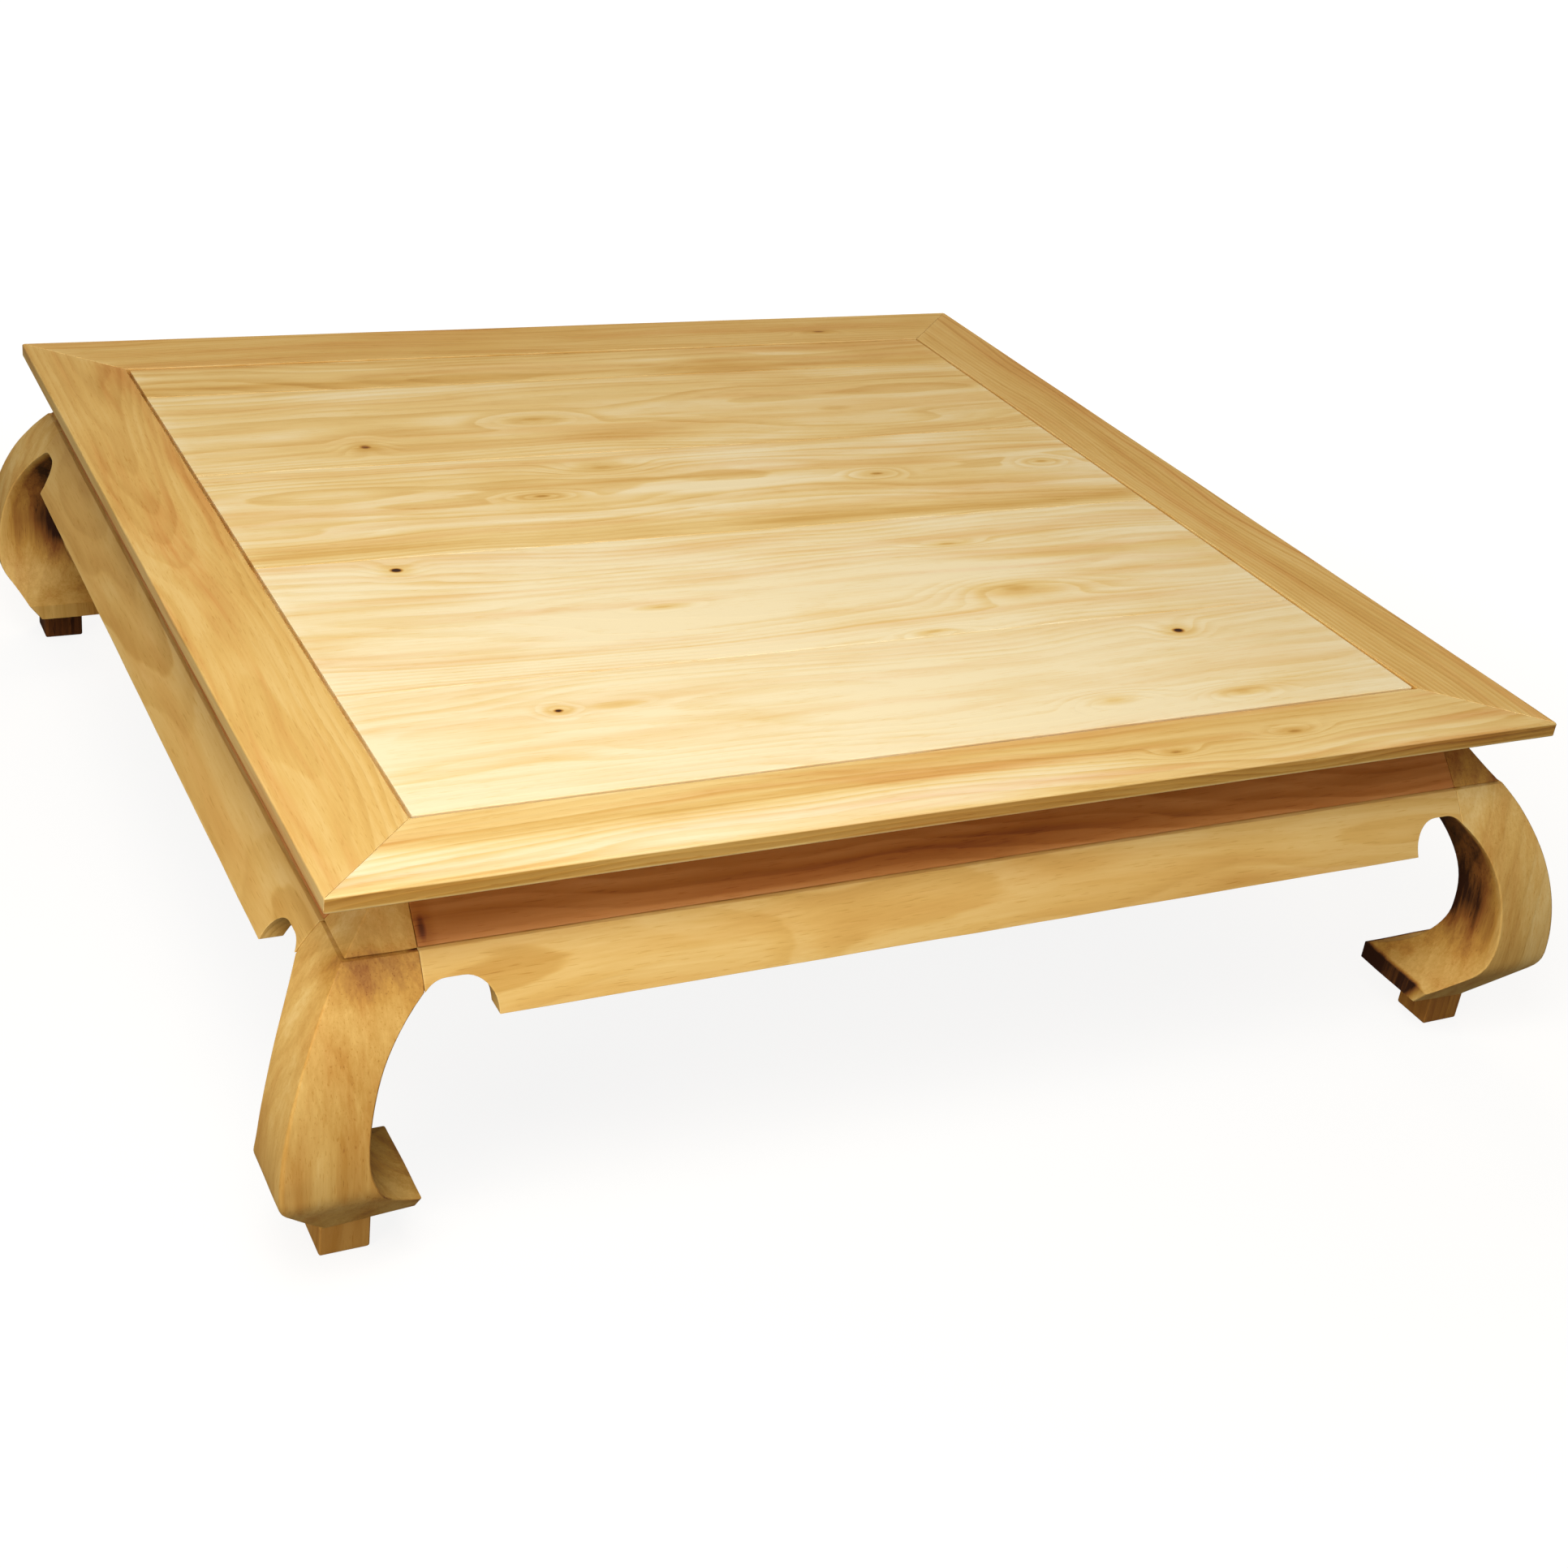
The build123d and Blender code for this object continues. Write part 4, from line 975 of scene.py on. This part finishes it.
# ---- operators -----------------------------------------------------------------------------
class KANG_OT_stage(bpy.types.Operator):
    """Floor, studio light and camera"""
    bl_idname = "kang_table.stage"
    bl_label = "Stage"

    def execute(self, context):
        scene = context.scene
        scene.view_settings.view_transform = "Standard"
        make_floor(scene.kang_colours.floor)
        make_world()
        make_lamps()
        make_camera()
        return {"FINISHED"}


def make_floor(colour):
    """Matte painted studio floor, grey to the light that bounces up.

    The camera sees it white, a little less bright round the table so that a faint shadow shows.
    """
    size, drop, grey = 12.0, 0.2 * MM, 0.16
    bm = bmesh.new()
    bmesh.ops.create_grid(bm, x_segments=1, y_segments=1, size=size)
    for v in bm.verts:
        v.co.z = -drop            # clear of the flat feet, so that the two faces don't mix
    mesh = bpy.data.meshes.new("studio_floor")
    bm.to_mesh(mesh)
    bm.free()
    material = bpy.data.materials.new("Painted plaster, rolled matte")
    material.use_nodes = True
    tree = material.node_tree
    tree.nodes.clear()
    path = add(tree, "ShaderNodeLightPath")
    seen = add(tree, "ShaderNodeMath", {0: path.outputs["Is Camera Ray"],
                                        1: path.outputs["Is Transmission Ray"]}, operation="MAXIMUM")
    matte = add(tree, "ShaderNodeBsdfDiffuse", {"Color": [c * grey for c in colour[:3]] + [1.0]})
    place = add(tree, "ShaderNodeTexCoord").outputs["Object"]
    away = add(tree, "ShaderNodeVectorMath", {0: place}, operation="LENGTH")
    white = add(tree, "ShaderNodeMapRange", {"Value": away.outputs["Value"], "From Min": 0.9, "From Max": 2.0,
                                             "To Min": 0.88, "To Max": 1.0}, interpolation_type="SMOOTHSTEP")
    glow = add(tree, "ShaderNodeEmission", {"Color": colour[:], "Strength": white.outputs["Result"]})
    bright = add(tree, "ShaderNodeAddShader", {0: matte.outputs[0], 1: glow.outputs[0]})
    chosen = add(tree, "ShaderNodeMixShader", {"Fac": seen.outputs[0], 1: matte.outputs[0],
                                               2: bright.outputs[0]})
    add(tree, "ShaderNodeOutputMaterial", {"Surface": chosen.outputs[0]})
    mesh.materials.append(material)
    floor = bpy.data.objects.new("studio_floor", mesh)
    bpy.context.scene.collection.objects.link(floor)


def make_world():
    """White to the camera and to rays through glass, and a low even fill for the light and in reflections."""
    world = bpy.data.worlds.new("Studio")
    bpy.context.scene.world = world
    world.use_nodes = True
    tree = world.node_tree
    tree.nodes.clear()
    path = add(tree, "ShaderNodeLightPath")
    sharp = add(tree, "ShaderNodeMath", {0: path.outputs["Is Camera Ray"],
                                         1: path.outputs["Is Transmission Ray"]}, operation="MAXIMUM")
    fill = add(tree, "ShaderNodeBackground", {"Color": linear("#FFF3E0"), "Strength": 0.20})
    white = add(tree, "ShaderNodeBackground", {"Color": (1, 1, 1, 1), "Strength": 1.0})
    chosen = add(tree, "ShaderNodeMixShader", {"Fac": sharp.outputs[0], 1: fill.outputs[0],
                                               2: white.outputs[0]})
    add(tree, "ShaderNodeOutputWorld", {"Surface": chosen.outputs[0]})


def make_lamps():
    """A large soft box above the front left corner and three fills."""
    for name, place, size, power, colour in (
            ("key_soft_box", (-0.83, -1.05, 2.0), 1.3, 33.0, "#FFFAEE"),
            ("left_fill", (-2.8, -1.9, 1.05), 1.2, 31.0, "#FFEDD0"),
            ("front_fill", (-0.6, -3.4, 1.1), 1.2, 12.0, "#FFEDD0"),
            ("back_fill", (1.8, 3.4, 2.2), 2.2, 66.0, "#FFE2B4")):
        lamp = bpy.data.lights.new(name, "AREA")
        lamp.shape = "SQUARE"
        lamp.size = size
        lamp.energy = power
        lamp.color = linear(colour)[:3]
        held = bpy.data.objects.new(name, lamp)
        held.location = place
        held.visible_glossy = name == "key_soft_box"
        held.rotation_euler = (Vector((0, 0, 0.3)) - Vector(place)).to_track_quat("-Z", "Y").to_euler()
        bpy.context.scene.collection.objects.link(held)


def make_camera():
    """Full-frame camera with a short telephoto lens, above the front left corner."""
    data = bpy.data.cameras.new("camera")
    data.lens = 52.9572
    data.sensor_width = 36.0
    camera = bpy.data.objects.new("camera", data)
    camera.location = (-1.020622, -1.980955, 1.262763)
    camera.rotation_euler = [radians(a) for a in (61.033830, -6.875536, -25.945139)]
    bpy.context.scene.collection.objects.link(camera)
    bpy.context.scene.camera = camera


class KANG_OT_frame_rails(bpy.types.Operator):
    """Four mitred rails round the panel"""
    bl_idname = "kang_table.frame_rails"
    bl_label = "Frame rails"

    def execute(self, context):
        woods = {
            "front": wood("Hardwood sawn through the sapwood, planed: front rail", ALONG_X,
                          (140, -620, 262), (0.6, 0.8), tone=0.31, rings=0.11, mottle=0.22, blush=0.35,
                          bands=((-572, 20, -700, 190, -0.22), (-545, 7, -620, 330, 0.14),
                                 (-586, 12, -640, 640, -0.10), (-520, 9, -300, 500, 0.07)),
                          knots=(((322, -552, TOP), (26, 9, 20), 0.25, 2.5),
                                 ((184, -560, TOP), (20, 8, 20), 0.2, 2.0))),
            "left": wood("Hardwood flat sawn, planed: left rail", ALONG_Y,
                         (-260, 560, 283), (2.4, 1.2), tone=0.42, rings=0.07, mottle=0.28, blush=0.40),
            "right": wood("Hardwood rift sawn, planed: right rail", ALONG_Y,
                          (310, -690, 300), (0.5, -0.8), tone=0.39, rings=0.13, mottle=0.20, blush=0.25,
                          bands=((-560, 12, -500, 350, 0.07),)),
            "back": wood("Hardwood rift sawn, planed: back rail", ALONG_X,
                         (900, 690, 280), (-0.5, 0.7), tone=0.38, rings=0.12, mottle=0.22, blush=0.2,
                         knots=(((381, 544, TOP), (30, 9, 20), 0.3, 2.5),)),
        }
        # painted shade on the upright edge of each rail, darker than its top as it takes less light; the left
        # one is painted paler, for the light from the left
        edges = {"front": 0.32, "back": 0.15, "left": -0.10, "right": 0.15}
        for side in SIDES:
            make_rail(side, woods[side], edges[side])
        return {"FINISHED"}


class KANG_OT_panel(bpy.types.Operator):
    """Five panel boards, edge to edge"""
    bl_idname = "kang_table.panel"
    bl_label = "Panel boards"

    def execute(self, context):
        z = TOP
        name = "Hardwood plain sawn, planed and oiled: panel board {}"
        # the wide faint bands over the right of boards 1 and 2 are painted shade, for the light falling off
        # towards the back right
        woods = (
            wood(name.format(1), ALONG_X, (0, -395, 205), (0.9, -0.5), tone=0.06, rings=0.09, mottle=0.30,
                 blush=0.10,
                 knots=(((-327, -364, z), (14, 10, 20), 0.8, 2.0), ((-270, -365, z), (30, 7, 20), 0.0, 1.2),
                        ((337, -341, z), (22, 16, 20), 0.9, 2.0),
                        ((322, -470, z), (34, 10, 20), 0.12, 3.0), ((184, -458, z), (36, 12, 20), 0.10, 3.0)),
                 bands=((-488, 14, -600, 600, -0.05), (-400, 150, 180, 900, 0.06))),
            wood(name.format(2), ALONG_X, (700, -170, 215), (-0.7, 0.9), tone=0.08, rings=0.11, mottle=0.37,
                 blush=0.18,
                 knots=(((-375, -62, z), (20, 15, 20), 1.0, 1.5),
                        ((223, -218, z), (60, 22, 20), 0.18, 3.5), ((-154, -188, z), (34, 7, 20), 0.15, 1.5),
                        ((206, -104, z), (34, 8, 20), 0.2, 2.0), ((86, -291, z), (30, 8, 20), 0.12, 2.0)),
                 bands=((-150, 12, 150, 600, 0.12), (-172, 16, 60, 520, -0.07), (-285, 10, -200, 300, -0.05),
                        (-170, 150, 200, 900, 0.035))),
            wood(name.format(3), ALONG_X, (1500, 95, 250), (0.8, 0.6), tone=0.155, rings=0.12, mottle=0.42,
                 blush=0.16,
                 knots=(((223, 86, z), (26, 10, 20), 0.35, 2.5), ((441, 90, z), (26, 11, 20), 0.22, 2.5),
                        ((-172, 86, z), (30, 9, 20), 0.35, 2.5), ((-80, 150, z), (40, 14, 20), 0.1, 3.0)),
                 bands=((-14, 17, -600, 600, 0.20), (-18, 9, -60, 560, 0.12), (86, 11, -200, 230, -0.16),
                        (114, 5, -240, 260, 0.14), (30, 9, -560, 560, -0.07))),
            wood(name.format(4), ALONG_X, (2300, 305, 235), (-0.6, -0.7), tone=0.21, rings=0.12, mottle=0.38,
                 blush=0.12,
                 knots=(((-312, 244, z), (20, 16, 20), 0.45, 2.0), ((-103, 296, z), (44, 14, 20), 0.12, 3.0),
                        ((-270, 501, z), (20, 8, 20), 0.4, 2.0)),
                 bands=((400, 10, -600, 600, -0.05), (240, 14, -500, 100, 0.06))),
            wood(name.format(5), ALONG_X, (3100, 455, 275), (0.7, 0.5), tone=0.295, rings=0.12, mottle=0.38,
                 blush=0.2,
                 bands=((433, 13, -640, 60, 0.17), (433, 10, -100, 600, 0.09), (471, 8, -600, 400, -0.12))),
        )
        for index, made in enumerate(woods):
            make_board(index, made)
        return {"FINISHED"}


class KANG_OT_bearers(bpy.types.Operator):
    """Bearers across the underside of the panel"""
    bl_idname = "kang_table.bearers"
    bl_label = "Bearers"

    def execute(self, context):
        sizes = context.scene.kang_sizes
        made = wood("Hardwood sawn and left from the plane: bearers", ALONG_Y, (0, 40, 250), (0.8, 0.6),
                    tone=0.30, rings=0.18, mottle=0.3, roughness=0.6, edge_wear_and_shade=0.05)
        set_out("bearers_wood", template("bearer", bearer_body(), 1.2), bearer_tree(),
                {"Count": sizes.bearer_count, "Spacing": sizes.bearer_spacing, "Seed": 4, "Tone range": 0.12,
                 "Material": made},
                ["bearer_left", "bearer_middle", "bearer_right"])
        return {"FINISHED"}


class KANG_OT_waist(bpy.types.Operator):
    """Four recessed waist boards with a bevelled foot"""
    bl_idname = "kang_table.waist"
    bl_label = "Waist boards"

    def execute(self, context):
        # a dark red stain at the left joint of the front board
        marks = {"front": (((-512, -562, 280), (11, 40, 30), 0.26, 0.0),)}
        for index, side in enumerate(SIDES):
            grain = ALONG_X if side in ("front", "back") else ALONG_Y
            way = 1 if side in ("back", "left") else -1
            # the darker tone and the red stain are painted shade: the reddish brown of the waist lying in the
            # shade of the top
            made = wood(f"Hardwood heartwood, planed and oiled dark: {side} waist board", grain,
                        (400 * index, 60 * index, 130), (0.7, 0.8), tone=0.51, rings=0.12, mottle=0.28,
                        blush=0.2, roughness=0.55, stain_and_shade_tint=0.6, knots=marks.get(side, ()),
                        bands=((way * 555, 3.5, -600, 600, -0.08), (way * 563, 3.5, -600, 600, 0.08)))
            make_waist(side, made)
        return {"FINISHED"}


class KANG_OT_aprons(bpy.types.Operator):
    """Four bulging aprons with an arch at each end"""
    bl_idname = "kang_table.aprons"
    bl_label = "Aprons"

    def execute(self, context):
        across = {"front": -700, "back": 700, "left": 720, "right": -720}
        tones = {"front": 0.40, "back": 0.42, "left": 0.41, "right": 0.42}
        for index, side in enumerate(SIDES):
            grain = ALONG_X if side in ("front", "back") else ALONG_Y
            made = wood(f"Hardwood rift sawn, shaped and oiled: {side} apron", grain,
                        (500 * index + 100, across[side], 330), (0.5, 0.6), tone=tones[side], rings=0.12,
                        mottle=0.22, blush=0.12)
            make_apron(side, made)
        return {"FINISHED"}


class KANG_OT_legs(bpy.types.Operator):
    """Four scroll legs cut from the solid"""
    bl_idname = "kang_table.legs"
    bl_label = "Legs"

    def execute(self, context):
        # tone of the wood, then the painted shade on its block and on the end of its toe; the front left
        # block is painted paler, for the light that reaches it under the corner of the top
        looks = {"front_left": (0.48, -0.12, 0.08), "front_right": (0.39, 0.34, 0.62),
                 "back_left": (0.39, 0.30, 0.08), "back_right": (0.39, 0.34, 0.30)}
        # legs keep their arrises unworn, and those of the front left one are darkened as painted shade
        # against the light their rounding catches
        arris_painted_shade = {"front_left": -0.3}
        knots = {"front_left": (((-562, -582, 262), (44, 36, 26), 0.0, 1.0),)}
        for index, (corner, (x_sign, y_sign)) in enumerate(CORNERS.items()):
            tone, block_shade, toe_shade = looks[corner]
            made = wood(f"Hardwood block, band sawn, carved and oiled: {corner.replace('_', ' ')} leg",
                        ALONG_Z, (900 * index, y_sign * 500, -x_sign * 470), (3.0, 2.0), tone=tone,
                        rings=0.05, mottle=0.42, fibre=0.26, blush=0.15, roughness=0.6, ring_width=3.0,
                        knots=knots.get(corner, ()), edge_wear_and_shade=arris_painted_shade.get(corner, 0.0))
            make_leg(corner, made, block_shade, toe_shade)
        return {"FINISHED"}


class KANG_OT_foot_pads(bpy.types.Operator):
    """Four square pads under the feet, fitted to the rising underside of the legs"""
    bl_idname = "kang_table.foot_pads"
    bl_label = "Foot pads"

    def execute(self, context):
        # with this seed the front left pad comes out palest and the back left one darkest, as painted shade
        # for the pads that stand in the table's shade; the stain adds a red brown
        made = wood("Hardwood block, sawn and stained dark: foot pads", ALONG_Z, (0, 480, 480), (2.0, 2.0),
                    tone=0.43, rings=0.05, mottle=0.25, roughness=0.55, stain_and_shade_tint=0.18)
        set_out("foot_pads_wood", template("foot_pad", foot_pad_body(), 0.8), corner_tree(),
                {"Square": 2 * PAD_MIDDLE * MM, "Tone range": 0.53, "Seed": 2801, "Material": made},
                [f"foot_pad_{corner}" for corner in CORNERS])
        return {"FINISHED"}


class KANG_OT_pins(bpy.types.Operator):
    """Pegs through the apron tenons and dowels between waist and frame"""
    bl_idname = "kang_table.pins"
    bl_label = "Pegs and dowels"

    def execute(self, context):
        made = wood("Hardwood split and rounded: pegs and dowels", ALONG_X, (0, 300, 300), tone=0.5,
                    rings=0.1, mottle=0.2, roughness=0.55)
        reach, inset, height, stagger = 62.0, 530.0, 258.0, 3.5
        middle = POST + reach / 2
        points, aims = [], []
        for x, y in CORNERS.values():
            points += [(x * inset, y * middle, height + stagger), (x * middle, y * inset, height - stagger)]
            aims += [(0, y, 0), (x, 0, 0)]
        tree = pin_tree()
        set_out("apron_pegs_wood", point_mesh("peg_points", points, aims), tree,
                {"Radius": 2.5 * MM, "Length": reach * MM, "Chamfer": 0.5 * MM, "Sides": 16,
                 "Material": made}, ["apron_pegs"])
        spread, depth = 280.0, 541.0
        points = [side_point(side, along, depth, RAIL_BOTTOM)
                  for side in SIDES for along in (-spread, spread)]
        set_out("waist_dowels_wood", point_mesh("dowel_points", points, [(0, 0, 1)] * len(points)), tree,
                {"Radius": 3.0 * MM, "Length": 24.0 * MM, "Chamfer": 0.8 * MM, "Sides": 16,
                 "Material": made}, ["waist_dowels"])
        return {"FINISHED"}


class KANG_PT_panel(bpy.types.Panel):
    bl_label = "Kang table"
    bl_idname = "KANG_PT_panel"
    bl_space_type = "VIEW_3D"
    bl_region_type = "UI"
    bl_category = "Kang table"

    def draw(self, context):
        for settings in (context.scene.kang_sizes, context.scene.kang_colours):
            box = self.layout.box()
            for name in settings.bl_rna.properties.keys():
                if name not in ("rna_type", "name"):
                    box.prop(settings, name)
        for operator in OPERATORS:
            self.layout.operator(operator.bl_idname)


OPERATORS = (KANG_OT_stage, KANG_OT_frame_rails, KANG_OT_panel, KANG_OT_bearers, KANG_OT_waist,
             KANG_OT_aprons, KANG_OT_legs, KANG_OT_foot_pads, KANG_OT_pins)
CLASSES = (KangTableSizes, KangTableColours) + OPERATORS + (KANG_PT_panel,)


def register():
    for made in CLASSES:
        bpy.utils.register_class(made)
    bpy.types.Scene.kang_sizes = PointerProperty(type=KangTableSizes)
    bpy.types.Scene.kang_colours = PointerProperty(type=KangTableColours)


def unregister():
    del bpy.types.Scene.kang_colours
    del bpy.types.Scene.kang_sizes
    for made in reversed(CLASSES):
        bpy.utils.unregister_class(made)


def main():
    register()
    for operator in OPERATORS:
        group_name, call = operator.bl_idname.split(".")
        getattr(getattr(bpy.ops, group_name), call)()


if __name__ == "__main__":
    main()
